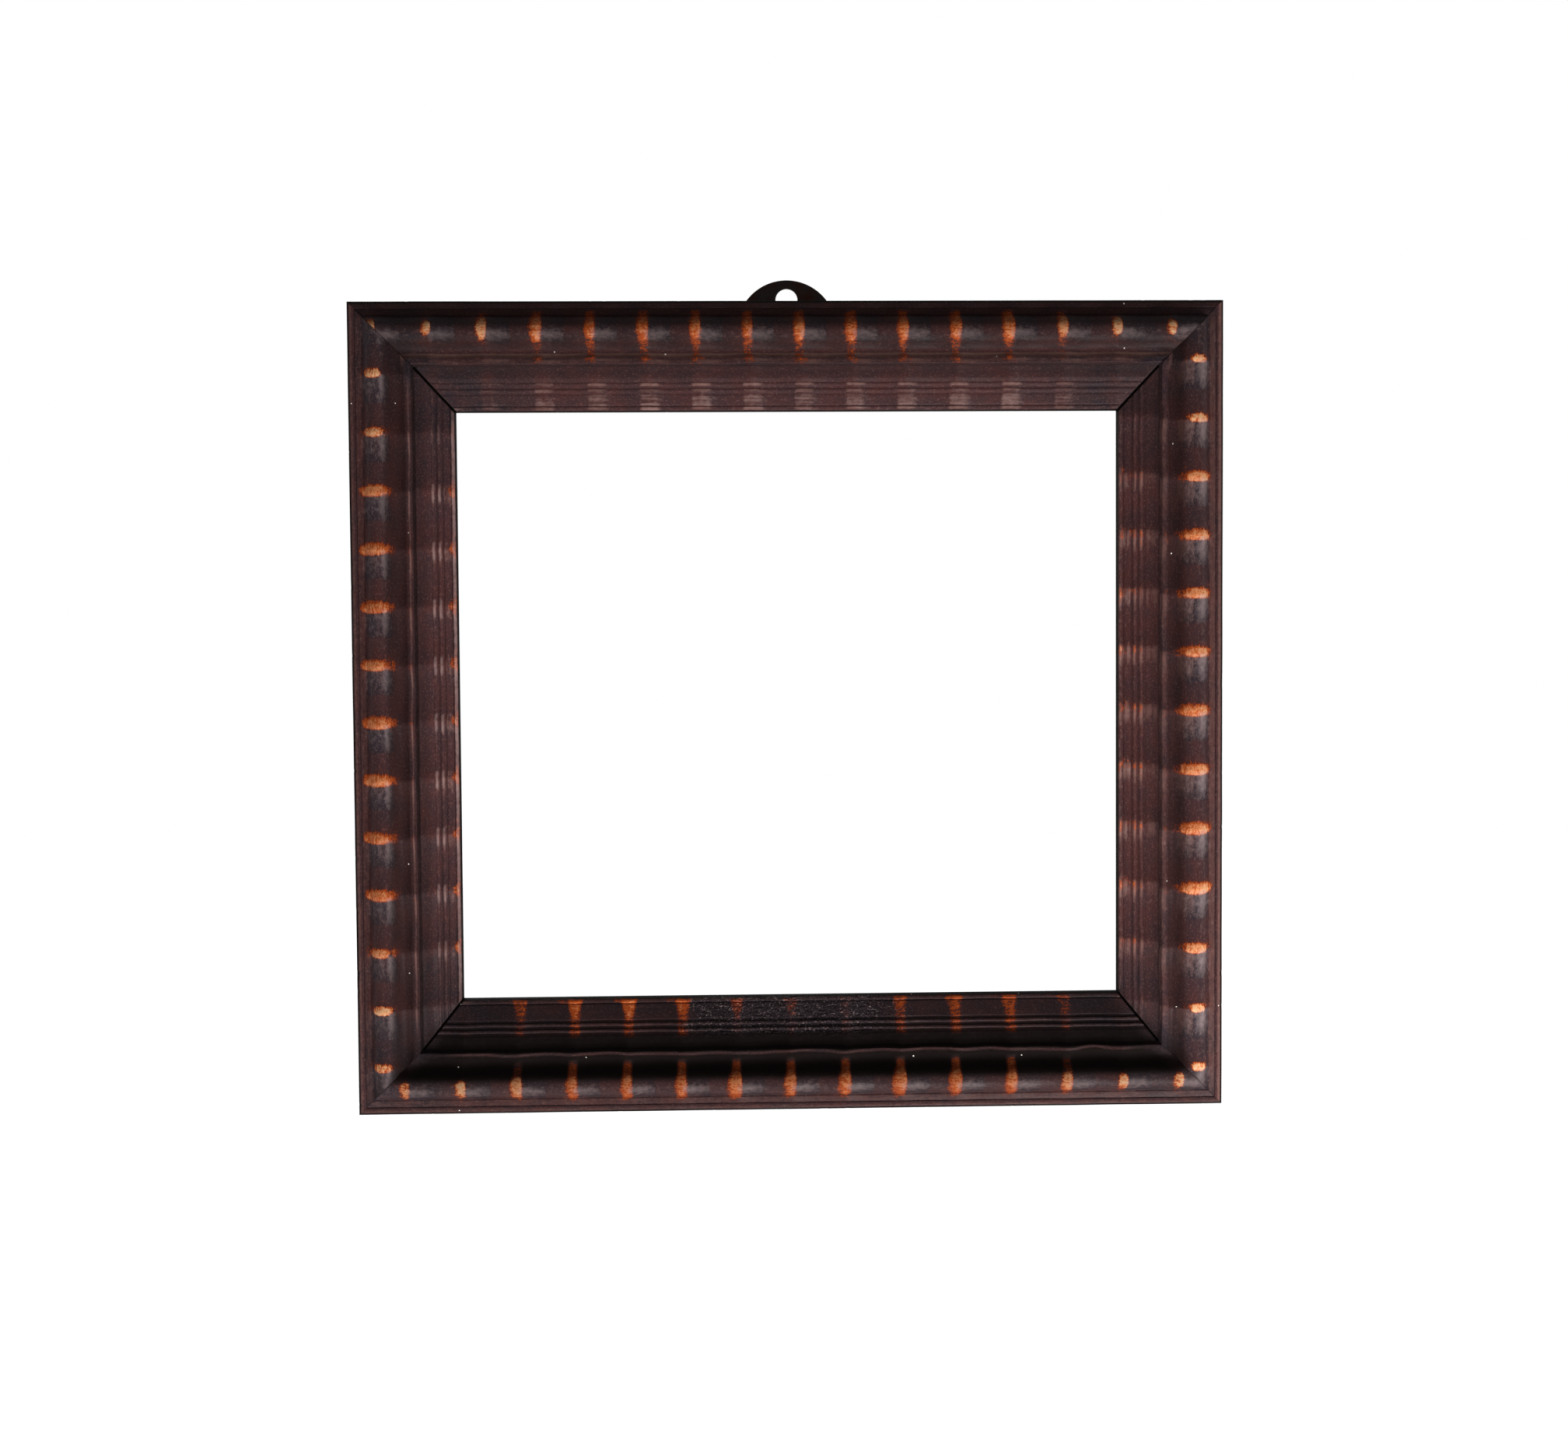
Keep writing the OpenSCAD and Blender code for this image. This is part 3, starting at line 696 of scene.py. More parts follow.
def outer_wear(rail, s, u):
    """Layers of the outer moulding's finish, by name. At a mitre one rail's values run into the next's.

    Wear is an oval patch on the half round at each ridge. It ends sharply on the lit flank, fades out on
    the other and is smaller near the corners. A tail runs from it into the hollow, and a faint glow lies
    round it. A painted highlight lies as a pale line along the half round, strongest on the lit flanks.
    The fillet, the shoulder and some other narrow edges are rubbed, and painted lighter on the lit flanks
    of the fillet and of the half round's inner side. Grime lies in the joints and, with painted shade, in
    the step; painted shade lies beside the fillet, on the top rail's shoulder and in the bottom rail's
    hollow. A cooler stain just past each ridge on the half round is a painted reflection. Each rail is
    darkened by its own amount, with painted shade in the hollow and towards the top of the right rail and
    the bottom of the left rail, and less on bare wood.
    """
    w = setting("wear")
    at = Places()
    sides = over_mitres(rail, s, u, 14 * MM)
    ridge = Ridges(rail, s, OUTER_RIDGE_SEED)
    past = ridge.past
    lit = ridge.lit(1 * MM, 6 * MM, 14 * MM)
    middling = smooth_step(ridge.from_corner, 35 * MM, 125 * MM)
    from_end = smooth_step(np.minimum(s, rail.length - s), 32 * MM, 60 * MM)

    # Bare patches, their tails, the glow round them and the reddened fillet.
    middle = lerp(14.5 * MM, sides(*w.patch_at), middling) + 0.7 * MM * ridge.shift
    reach = lerp(4.0 * MM, sides(*w.patch_reach), middling) * ridge.size
    half = np.where(past > 0, 2.3 * MM, sides(*w.patch_flank)) * lerp(0.8, ridge.size, middling)
    edge = lerp(0.5, 0.16, smooth_step(past, -2 * MM, 1.5 * MM))
    edge = edge + sides(0.3, 0, 0.12, 0) * smooth_step(middle - u, 0, 5 * MM)
    patch = oval(past / half, (u - middle) / reach, edge)
    tails = sides(*w.tail) * middling * hump(past, -0.3 * MM, 2.6 * MM, power=4)
    tails = tails * plateau(u, sides(10, 10, 7, 7) * MM, sides(*w.tail_end), 4 * MM, 6 * MM)
    glow = hump(past, -1.5 * MM, 6 * MM) * plateau(u, 7 * MM, 21 * MM, 3 * MM, 5 * MM)
    reddened = hump(u, at.fillet_mid, 2.6 * MM) * hump(past, 0.5 * MM, 5 * MM) * middling
    wear = np.maximum(ridge.strength * patch, tails) + 0.25 * glow * lerp(0.8, 1, middling)
    wear = wear + sides(0.05, 0.26, 0.42, 0.28) * reddened

    # Painted highlight: a pale line along the half round, with painted sheen on its lit flanks.
    highlight_streak = hump(u, sides(*w.highlight_streak_at), sides(2.4, 2.5, 2.6, 1.3) * MM)
    bloom = sides(*w.highlight_streak) * (0.2 + 0.8 * lit) * highlight_streak
    bloom = bloom + sides(0.05, 0.16, 0.05, 0.14) * lit * plateau(u, 9 * MM, 20 * MM, 3 * MM, 3 * MM)

    # Narrow edges, rubbed thin, with painted light on the lit flanks of the fillet and of the half
    # round's inner side.
    crest_u = at.fillet_mid + sides(0.5, 1.1, 0.5, 0.5) * MM
    crest_u = crest_u + sides(0.5, 0, 0.2, 0) * MM * fillet_swing(rail, s)
    fillet = hump(u, crest_u, sides(0.75, 2.0, 0.9, 0.55) * MM, power=4) * from_end
    shoulder = plateau(u, STRIP_T + 0.5 * MM, at.shoulder_end - 1.4 * MM, 0.6 * MM, 0.8 * MM)
    rubbed = sides(*w.fillet) * fillet * lerp(0.5, 1, ridge.lit(0, 7 * MM, 9 * MM))
    rubbed = rubbed + sides(0.18, 0.28, 0, 0.16) * shoulder
    rubbed = rubbed + sides(0, 0, 0.8, 0) * plateau(u, 27.6 * MM, at.fillet_u, 0.8 * MM, 0.6 * MM)
    rubbed = rubbed + sides(0, 0.35, 0.1, 0) * lit * plateau(u, 18 * MM, 23 * MM, 2 * MM, 3 * MM)

    # Grime in the joint, grime and painted shade in the step, and painted shade beside the fillet and in
    # the hollow, most of all on the bottom rail, and on the top rail's shoulder and outer flank.
    step = plateau(u, at.fillet_end + 0.5 * MM, SEAM_U, 0.4 * MM, 1 * MM)
    joint = 1 - smooth_step(u, STRIP_T, STRIP_T + 0.4 * MM)
    beside = plateau(u, at.fillet_u + 0.3 * MM, SEAM_U, 0.5 * MM, 1 * MM) * (1 - 0.8 * fillet)
    shade = sides(0.9, 0, 0, 0.15) * plateau(u, 21 * MM, at.fillet_u + 0.5 * MM, 5 * MM, 0.8 * MM)
    outer_shade = sides(0, 0, 0.42, 0) * (1 - smooth_step(u, at.shoulder_end, at.round_u + 1 * MM))
    shade = np.maximum(shade, outer_shade) * (1 - 0.9 * np.maximum(patch, 1.5 * tails))
    dirt = sides(0.85, 0.3, 0.45, 0.6) * step + sides(0.15, 0.12, 0.1, 0.3) * joint
    dirt = np.maximum(np.maximum(dirt, sides(0.75, 0, 0, 0.25) * beside), shade)

    # The stain's warmth, the dryness of the bare wood and each rail's darkening.
    # A cooler stain just past each ridge on the half round is a painted reflection of the varnish's
    # sheen.
    cool_sheen = plateau(u, at.shoulder_end, at.hollow_u, 1 * MM, 1 * MM)
    cool_sheen = cool_sheen * plateau(past, 2 * MM, 12 * MM, 2 * MM, 8 * MM)
    hollow = plateau(u, at.hollow_u, at.fillet_u, 2 * MM, 1 * MM)
    warmth = 0.55 + 0.35 * glow - 0.5 * cool_sheen + 0.25 * hollow + 0.2 * shoulder - 0.4 * (1 - from_end)
    dry = np.maximum(1 - smooth_step(ridge.from_corner, 45 * MM, 115 * MM), sides(0, 0.15, 0, 0.1))
    dry = dry + sides(0, 0.5, 0, 0) * (1 - smooth_step(u, 10 * MM, 16 * MM))
    # Each rail is darkened by its own amount. Painted shade darkens the hollow more, and grows towards
    # the top of the right rail and the bottom of the left rail. Bare wood is darkened less.
    hollow_end = at.fillet_u - sides(0.5, 0.5, 5, 0.5) * MM
    in_hollow = plateau(u, sides(21, 24, 21, 21) * MM, hollow_end, 4 * MM, 2 * MM)
    light = sides(*w.outer_light) * (1 - 0.5 * in_hollow) * (1 - sides(0, 0.1, 0, 0.22) * rail.later(s))
    soot = lerp(1 - light, sides(0.56, 0, 0.28, 0.2), np.clip(wear, 0, 1))
    return finish_layers(
        s, wear=wear, rubbed=rubbed, bloom=bloom, warmth=warmth, dry=dry, dirt=dirt, soot=soot
    )


def sight_wear(rail, s, u):
    """Layers of the sight moulding's finish, by name. At a mitre one rail's values run into the next's.

    Wear is a patch at each ridge that starts at the sight edge and narrows outwards. On the bottom rail
    it reaches the reeds, and it is fainter in the right half. The reeds, the flat and the bead are rubbed
    in streaks on the ridges' lit flanks, most of all on the right rail, where the wood shows; these
    streaks are partly wear and partly painted light, and their palest parts are painted highlights.
    Grime and painted shade fill the grooves; painted shade darkens the step behind the seam, the inner
    face and the outermost strip of the slope. Each rail is darkened by its own amount and a little more
    near the corners, with painted shade towards the seam and towards the bottom of the left rail, and
    less on bare wood.
    """
    m = setting("moulding")
    w = setting("wear")
    at = Places()
    sides = over_mitres(rail, s, u, 10 * MM)
    ridge = Ridges(rail, s, SIGHT_RIDGE_SEED)
    past = ridge.past
    inner = rail.width - u
    middling = smooth_step(ridge.from_corner, 45 * MM, 110 * MM)
    corner = 1 - smooth_step(np.minimum(s, rail.length - s), 60 * MM, 110 * MM)
    lit = ridge.lit(sides(0.8, -0.6, 0.8, 0.8) * MM, 3 * MM, 9 * MM) * middling
    near = plateau(past, -2.5 * MM, 4 * MM, 2 * MM, 4 * MM) * middling
    lines = 0.6 + 0.5 * value_noise(s, u, 30 * MM, 0.9 * MM, STREAK_SEED + rail.side)
    reeds = sum(hump(u, start + m.reed_w / 2, 0.8 * MM, power=4) for start in (at.reed1_u, at.reed2_u))
    bead = hump(inner, 1.1 * MM, 0.8 * MM, power=4)
    flat = plateau(u, at.flat_u, rail.width - m.bead_w, 0.8 * MM, 0.5 * MM)
    plain = plateau(u, SEAM_U + 2 * MM, at.reed1_u, 2 * MM, 0.5 * MM)

    # Bare patches, and wood that shows along the reeds and the bead.
    reach = sides(*w.sight_reach)
    faded = smooth_step(ridge.at, 0.4 * rail.length, 0.56 * rail.length)
    level = sides(*w.sight_patch) - sides(0.42, 0, 0, 0) * faded
    widening = (1 - np.clip(inner / reach, 0, 1)) ** 1.5
    half = lerp(2.8, 5.0, widening) * ridge.size * np.where(past > 0, 0.85, 1.0) * MM
    patch = oval(past / half, inner / (1.05 * reach), 0.42) * smooth_step(inner, -2 * MM, 2.5 * MM)
    spread = hump(inner, 1.6 * MM, 1.7 * MM, power=4) * plateau(past, -7 * MM, 0, 5 * MM, 1 * MM)
    patch = np.maximum(patch, sides(0.34, 0, 0, 0.24) * spread)
    through_reeds = hump(past, 0, 3.4 * MM, power=4)
    through_reeds = through_reeds * plateau(inner, 0, 0.75 * (rail.width - SEAM_U), 1 * MM, 3 * MM)
    red = sides(0.5, 0.14, 0.12, 0.15) * through_reeds
    wear = np.maximum(level * ridge.strength * patch, red) * middling + sides(0.1, 0, 0, 0.2) * bead
    # On the right rail the wood shows on the lit flanks, partly as painted light.
    wear = wear + (sides(0, 0.42, 0, 0) * lit + sides(0, 0, 0, 0.1) * near) * (reeds + bead) * lines

    # Streaks rubbed thin, partly painted light where they follow the lit flanks, and painted highlights
    # on the reeds, the flat and the bead.
    streaks = (sides(0.15, 1.1, 0, 0.25) * lit + sides(0, 0, 0.85, 0.4) * near) * lines
    rubbed = reeds * (sides(0.14, 0.12, 0, 0.12) + streaks)
    rubbed = rubbed + bead * (sides(0.2, 0.2, 0.12, 0.5) + streaks)
    rubbed = rubbed + (0.72 * flat + sides(0.1, 0.3, 0.1, 0.2) * plain) * streaks
    bloom = sides(0, 0.06, 0.12, 0.34) * reeds * near + sides(0, 0.1, 0, 0.4) * bead
    bloom = bloom + sides(0, 0.16, 0.26, 0.12) * np.maximum(lit, near) * lines * (flat + bead)

    # Grime and painted shade in the grooves; painted shade in the step behind the seam, on the outermost
    # strip of the slope and on the inner face.
    groove_mid = m.reed_w + 0.6 * m.groove_w
    grooves = sum(hump(u, start + groove_mid, 0.38 * MM) for start in (at.reed1_u, at.reed2_u))
    behind_step = 1 - smooth_step(u, SEAM_U + 0.2 * MM, SEAM_U + 1.2 * MM)
    outer_shade = 1 - smooth_step(u, SEAM_U + 5 * MM, SEAM_U + 9.5 * MM)
    face = 1 - smooth_step(inner, 0.05 * MM, 0.45 * MM)
    dirt = sides(0.5, 0.12, 0, 0.4) * grooves + sides(0.2, 0.3, 0.2, 0.5) * behind_step
    dirt = dirt + sides(0.8, 0, 0, 0.12) * outer_shade + 0.9 * face

    # The stain's warmth, the dryness of the bare wood and each rail's darkening, with painted shade
    # towards the seam and towards the bottom of the left rail.
    warmth = sides(0.45, 0.85, 0.7, 0.65) + 0.3 * through_reeds - 0.4 * corner
    dry = sides(0, 0.7, 0.2, 0.5) + 0.5 * (1 - middling)
    light = lerp(1, 0.85, corner) * sides(*w.sight_light) * (1 - sides(0, 0, 0, 0.28) * rail.later(s))
    light = light * lerp(0.68, 1, smooth_step(u, SEAM_U + 2 * MM, SEAM_U + 9 * MM))
    soot = lerp(1 - light, sides(0.25, 0, 0.3, 0.15), np.clip(wear, 0, 1))
    return finish_layers(
        s, wear=wear, rubbed=rubbed, bloom=bloom, warmth=warmth, dry=dry, dirt=dirt, soot=soot
    )


def finish_layers(s, **layers):
    """Layers of a finish over the points s, each held between 0 and 1.2."""
    return {title: np.clip(values + 0 * s, 0, 1.2) for title, values in layers.items()}


def moulding_rows(rail, section, depth, seed):
    """Rows of a moulding's rippled front: distances s, u and heights h, with hand-worked unevenness.

    The shoulder is cut less deep than the half round, and rows lie closer together at the mitres.
    """
    u, h = section
    s = mitred_grid(rail, u, MITRE_ROWS, ROW_SPACING)
    u = np.broadcast_to(u, s.shape).copy()
    h = np.broadcast_to(h, s.shape)
    stray = setting("ripple").wander * value_noise(s, u, 14 * MM, 9 * MM, seed + rail.side)
    share = lerp(0.25, 1, smooth_step(u, STRIP_T, Places().shoulder_end + 1 * MM))
    cut = h + share * (rail.rippled(s + stray, h, depth, section[1].max()) - h)
    uneven = 0.05 * MM * value_noise(s, u, 6 * MM, 3 * MM, seed + rail.side + 1)
    return s, u, cut + np.minimum(uneven, 0)


def build_moulding(kind, rail, front, low_u, high_u, material, layers):
    """Builds a moulding from its front surface, (s, u, h), closed at the back between two distances u."""
    s, u, h = front
    surface = (with_back(s), with_back(u, high_u, low_u), with_back(h, BASE_T, BASE_T))
    layers = {title: with_back(values) for title, values in layers.items()}
    build_piece(kind + "_moulding_" + rail.name, "_rippled", rail, surface, material, layers)


def from_joint(rail, s, u):
    """Distance of a point from the nearer mitre, measured square to the joint."""
    start, end = rail.ends(u)
    return np.minimum(s - start, rail.length - end - s) / math.sqrt(2)


class RIPPLEFRAME_OT_outer_mouldings(bpy.types.Operator):
    """Builds the four outer mouldings, with half round, hollow and fillet"""

    bl_idname = "rippleframe.outer_mouldings"
    bl_label = "Outer Mouldings"

    def execute(self, context):
        m = setting("moulding")
        ripple = setting("ripple")
        finish = ebonised_wood("outer moulding finish")
        section = eased_section(outer_section(), spacing=0.32 * MM, ease=0.35 * MM)
        for side in SIDES:
            rail = Rail(side, ripple.outer_shifts)
            s, u, h = moulding_rows(rail, section, ripple.outer_depth, OUTER_SHAPE_SEED)
            layers = outer_wear(rail, s, u)
            u = u + m.fillet_wave * fillet_swing(rail, s) * hump(u, Places().fillet_mid, 3 * MM, power=4)
            mitre = hump(from_joint(rail, s, u), 0, 0.35 * MM)
            layers["dirt"] = np.maximum(layers["dirt"], 0.55 * mitre)
            front = (s, u, h)
            build_moulding("outer", rail, front, STRIP_T, SEAM_U, finish, layers)
        return {"FINISHED"}


class RIPPLEFRAME_OT_sight_mouldings(bpy.types.Operator):
    """Builds the four sight mouldings, with reeds, bead and open mitres"""

    bl_idname = "rippleframe.sight_mouldings"
    bl_label = "Sight Mouldings"

    def execute(self, context):
        m = setting("moulding")
        ripple = setting("ripple")
        finish = ebonised_wood("sight moulding finish")
        for side in SIDES:
            rail = Rail(side, ripple.sight_shifts)
            section = eased_section(sight_section(rail), spacing=0.24 * MM, ease=0.25 * MM)
            s, u, h = moulding_rows(rail, section, ripple.sight_depth, SIGHT_SHAPE_SEED)
            layers = sight_wear(rail, s, u)
            from_mitre = from_joint(rail, s, u)
            h = h - m.mitre_depth * np.clip(1 - from_mitre / m.mitre_gap, 0, 1)
            layers["dirt"] = np.maximum(layers["dirt"], hump(from_mitre, 0, 0.7 * MM, power=4))
            if side == BOTTOM:
                area = blister_area(s, u)
                h = h + area * blisters(s, u)
                layers["blister"] = area
                layers["warmth"] = layers["warmth"] - 0.7 * area
                layers["soot"] = np.maximum(layers["soot"], 0.4 * area)
            front = (s, u, h)
            build_moulding("sight", rail, front, SEAM_U, rail.width, finish, layers)
        return {"FINISHED"}


def blister_area(s, u):
    """Where the varnish on the bottom rail's slope has blistered: a stretch with a ragged border."""
    along = s + 9 * MM * value_noise(s, u, 9 * MM, 5 * MM, BLISTER_SEED)
    stretch = smooth_step(along, 168 * MM, 182 * MM) * (1 - smooth_step(along, 262 * MM, 292 * MM))
    return stretch * smooth_step(u, SEAM_U + 3 * MM, SEAM_U + 7 * MM)


def blisters(s, u):
    """Heights of blistered varnish: the ridges of a coarse and a fine noise."""
    coarse = 1 - np.abs(value_noise(s, u, 2.4 * MM, 1.9 * MM, BLISTER_SEED + 1))
    fine = 1 - np.abs(value_noise(s, u, 1.1 * MM, 1.0 * MM, BLISTER_SEED + 2))
    return 0.32 * MM * coarse**2 + 0.16 * MM * fine - 0.3 * MM


class RIPPLEFRAME_OT_edge_strips(bpy.types.Operator):
    """Builds the four thin strips around the outside, with worn and chipped arrises"""

    bl_idname = "rippleframe.edge_strips"
    bl_label = "Edge Strips"

    def execute(self, context):
        m = setting("moulding")
        finish = ebonised_wood("edge strip finish")
        bevel = m.strip_bevel
        corners = [(0, 0), (0, STRIP_H - bevel), (bevel, STRIP_H), (STRIP_T - 0.5 * m.ease, STRIP_H)]
        corners += [(STRIP_T, STRIP_H - 0.3 * m.ease), (STRIP_T, 0)]
        section_u, section_h = eased_section(corners, spacing=0.35 * MM, ease=0.3 * MM)
        for side in SIDES:
            rail = Rail(side)
            s = mitred_grid(rail, section_u, (), STRIP_ROW_SPACING)
            u = np.broadcast_to(section_u, s.shape)
            h = np.broadcast_to(section_h, s.shape)
            layers = strip_wear(rail, s, u, h, bevel)
            u, h = worn_arris(rail, s, u, h)
            if side == TOP:
                u, h = make_room_for_hanger(rail, s, u, h)
            node = "edge_strip_" + rail.name
            build_piece(node, "_worn", rail, (s, u, h), finish, layers)
        return {"FINISHED"}


def worn_arris(rail, s, u, h):
    """Moves a strip's outer arris in and down, unevenly along its length and further at the chips."""
    arris = hump(np.hypot(u, h - STRIP_H), 0, 1.5 * MM, power=4)
    chip = smooth_step(noise_along(s, 3.5 * MM, CHIP_SEED + rail.side), 0.78, 1.0)
    worn = 0.12 * MM * (1 + noise_along(s, 22 * MM, ARRIS_SEED + rail.side))
    return u + arris * (0.3 * MM * chip + 0.5 * worn), h - arris * (0.4 * MM * chip + worn)


def strip_wear(rail, s, u, h, bevel):
    """Layers of an edge strip's finish: black on the outer bevel, rubbed on the front behind it."""
    front = smooth_step(h, STRIP_H - 3 * MM, STRIP_H - 1.5 * MM)
    outer = 1 - smooth_step(u, bevel * 0.6, bevel * 1.15)
    joint = smooth_step(u, STRIP_T - 0.5 * MM, STRIP_T - 0.15 * MM)
    crown = hump(u, bevel + 0.8 * MM, 0.9 * MM, power=3)
    dirt = np.maximum(outer * lerp(0.35, 1, front), at_side(rail, 0.15, 0.12, 0.1, 0.3) * joint)
    # Painted shade on the front of the top strip, which lies in the half round's shadow.
    dirt = np.maximum(dirt, at_side(rail, 0, 0, 0.4, 0) * front)
    rubbed = at_side(rail, 0.3, 0.55, 0, 0.3) * crown * front
    # Each strip is darkened by its own amount, the top one partly as painted shade.
    soot = at_side(rail, 0.45, 0.1, 0.45, 0.2)
    return finish_layers(s, wear=0, rubbed=rubbed, bloom=0, warmth=0.6, dry=0.5, dirt=dirt, soot=soot)


def make_room_for_hanger(rail, s, u, h):
    """Cuts the top strip's back away behind the hanger plate, and rounds it out in front of the hole."""
    m = setting("moulding")
    low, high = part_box("hanger_plate")
    x = rail.place(s, u, h)[..., 0]
    gap = 0.3 * MM
    behind_plate = (x > low.x - gap) & (x < high.x + gap)
    h = np.where(behind_plate, np.maximum(h, -low.y), h)
    notch = np.sqrt(np.maximum(m.hook_room_r**2 - x**2, 0)) - HOLE_RISE
    u = np.where(h < m.hook_room_d, np.maximum(u, notch), u)
    return u, h


def eased_copy(node, width, ending, material):
    """Adds a copy of a CAD node with merged corners and its arrises eased by a bevel of that width."""
    shell = bmesh.new()
    shell.from_mesh(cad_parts[node].data)
    bmesh.ops.remove_doubles(shell, verts=shell.verts, dist=0.002 * MM)
    flat = {"angle_limit": math.radians(0.5), "use_dissolve_boundaries": False}
    bmesh.ops.dissolve_limit(shell, verts=shell.verts, edges=shell.edges, **flat)
    mesh = bpy.data.meshes.new(node + ending)
    shell.to_mesh(mesh)
    shell.free()
    mesh.shade_smooth()
    mesh.set_sharp_from_angle(angle=ARRIS_ANGLE)
    bevel = add_piece(mesh, node, material).modifiers.new("Eased arrises", "BEVEL")
    bevel.width = width
    bevel.segments = 2
    bevel.limit_method = "ANGLE"
    bevel.angle_limit = ARRIS_ANGLE
    bevel.use_clamp_overlap = True


class RIPPLEFRAME_OT_carcass(bpy.types.Operator):
    """Builds the half-lapped pine carcass and its pegs"""

    bl_idname = "rippleframe.carcass"
    bl_label = "Carcass"

    def execute(self, context):
        level = pine("carcass pine, level", "X")
        upright = pine("carcass pine, upright", "Z")
        for node in ("base_rail_bottom", "base_rail_top"):
            eased_copy(node, PINE_ARRIS, "_pine", level)
        for node in ("base_stile_left", "base_stile_right"):
            eased_copy(node, PINE_ARRIS, "_pine", upright)
        dress("corner_pegs", peg_wood("peg end grain"))
        return {"FINISHED"}


class RIPPLEFRAME_OT_hanger(bpy.types.Operator):
    """Builds the hanger plate and finishes its screws and the brads"""

    bl_idname = "rippleframe.hanger"
    bl_label = "Hanger"

    def execute(self, context):
        eased_copy("hanger_plate", IRON_ARRIS, "_forged", sheet_iron("hanger iron"))
        steel = browned_steel("browned steel")
        for node in ("hanger_screws", "outer_moulding_brads", "sight_moulding_brads"):
            dress(node, steel)
        return {"FINISHED"}


def dress(node, material):
    """Gives a CAD node a finer material."""
    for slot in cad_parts[node].material_slots:
        slot.material = material


# Finishes


def feed(tree, node, inputs):
    """Sets a shader node's inputs, each to a plain value or to another node's output, by a link."""
    for key, value in inputs.items():
        if isinstance(value, bpy.types.NodeSocket):
            tree.links.new(value, node.inputs[key])
        else:
            node.inputs[key].default_value = value


def put(tree, kind, inputs=None, **settings):
    """Adds a shader node with its settings and its inputs."""
    node = tree.nodes.new("ShaderNode" + kind)
    for key, value in settings.items():
        setattr(node, key, value)
    feed(tree, node, inputs or {})
    return node


def maths(tree, operation, *values):
    """The result of a Math node."""
    return put(tree, "Math", dict(enumerate(values)), operation=operation).outputs[0]


def add_up(tree, base, *parts):
    """A value with others added to it, each given with its factor."""
    for value, factor in parts:
        base = maths(tree, "MULTIPLY_ADD", value, factor, base)
    return base


def unsettle(tree, base, *noises):
    """A value made uneven by noises, each given with its factor and counted from its middle, 0.5."""
    parts = [(maths(tree, "SUBTRACT", noise, 0.5), factor) for noise, factor in noises]
    return add_up(tree, base, *parts)


def between(tree, value, low, high, out_low=0.0, out_high=1.0):
    """A value stretched from the range low to high onto another range, and held inside it."""
    inputs = {"Value": value, "From Min": low, "From Max": high, "To Min": out_low, "To Max": out_high}
    return put(tree, "MapRange", inputs, clamp=True).outputs[0]


def opaque(tint):
    """A colour with full cover. Another node's output stays as it is."""
    return tint if isinstance(tint, bpy.types.NodeSocket) else (*tint, 1.0)


def blend(tree, share, first, second):
    """A colour between two others."""
    inputs = {0: share, 6: opaque(first), 7: opaque(second)}
    return put(tree, "Mix", inputs, data_type="RGBA").outputs[2]


def stretched(tree, coordinates, scale):
    """Coordinates in metres, multiplied by three scales that give a pattern's cells a metre."""
    return put(tree, "Mapping", {"Vector": coordinates, "Scale": scale}).outputs[0]


def stretched_noise(tree, coordinates, scale, detail=3.0, roughness=0.5, distortion=0.0):
    """Noise with so many cells a metre along each axis."""
    inputs = {
        "Vector": stretched(tree, coordinates, scale),
        "Scale": 1.0,
        "Detail": detail,
        "Roughness": roughness,
        "Distortion": distortion,
    }
    return put(tree, "TexNoise", inputs).outputs["Fac"]


def stretched_cells(tree, coordinates, scale, **settings):
    """Outputs of a pattern of uneven cells, with so many of them a metre along each axis."""
    inputs = {"Vector": stretched(tree, coordinates, scale), "Scale": 1.0}
    return put(tree, "TexVoronoi", inputs, **settings).outputs


def bands(tree, coordinates, axis, inputs):
    """Wavering bands that follow one another along an axis."""
    inputs = {"Vector": coordinates, **inputs}
    return put(tree, "TexWave", inputs, wave_type="BANDS", bands_direction=axis).outputs["Fac"]


def colour_steps(tree, value, steps):
    """Colours that follow one another as a value grows, each given with its place."""
    ramp = put(tree, "ValToRGB", {"Fac": value})
    elements = ramp.color_ramp.elements
    while len(elements) < len(steps):
        elements.new(0.5)
    for element, (position, tint) in zip(elements, steps):
        element.position = position
        element.color = opaque(tint)
    return ramp.outputs["Color"]


def relief(tree, height, distance):
    """A surface's direction where a height from 0 to 1 is a bump of that distance."""
    return put(tree, "Bump", {"Height": height, "Distance": distance, "Strength": 1.0}).outputs[0]


def new_finish(name):
    """A material with only its shader and output, and its node tree."""
    material = bpy.data.materials.new(name)
    material.use_nodes = True
    tree = material.node_tree
    tree.nodes.clear()
    shader = put(tree, "BsdfPrincipled")
    put(tree, "OutputMaterial", {"Surface": shader.outputs[0]})
    return material, tree, shader


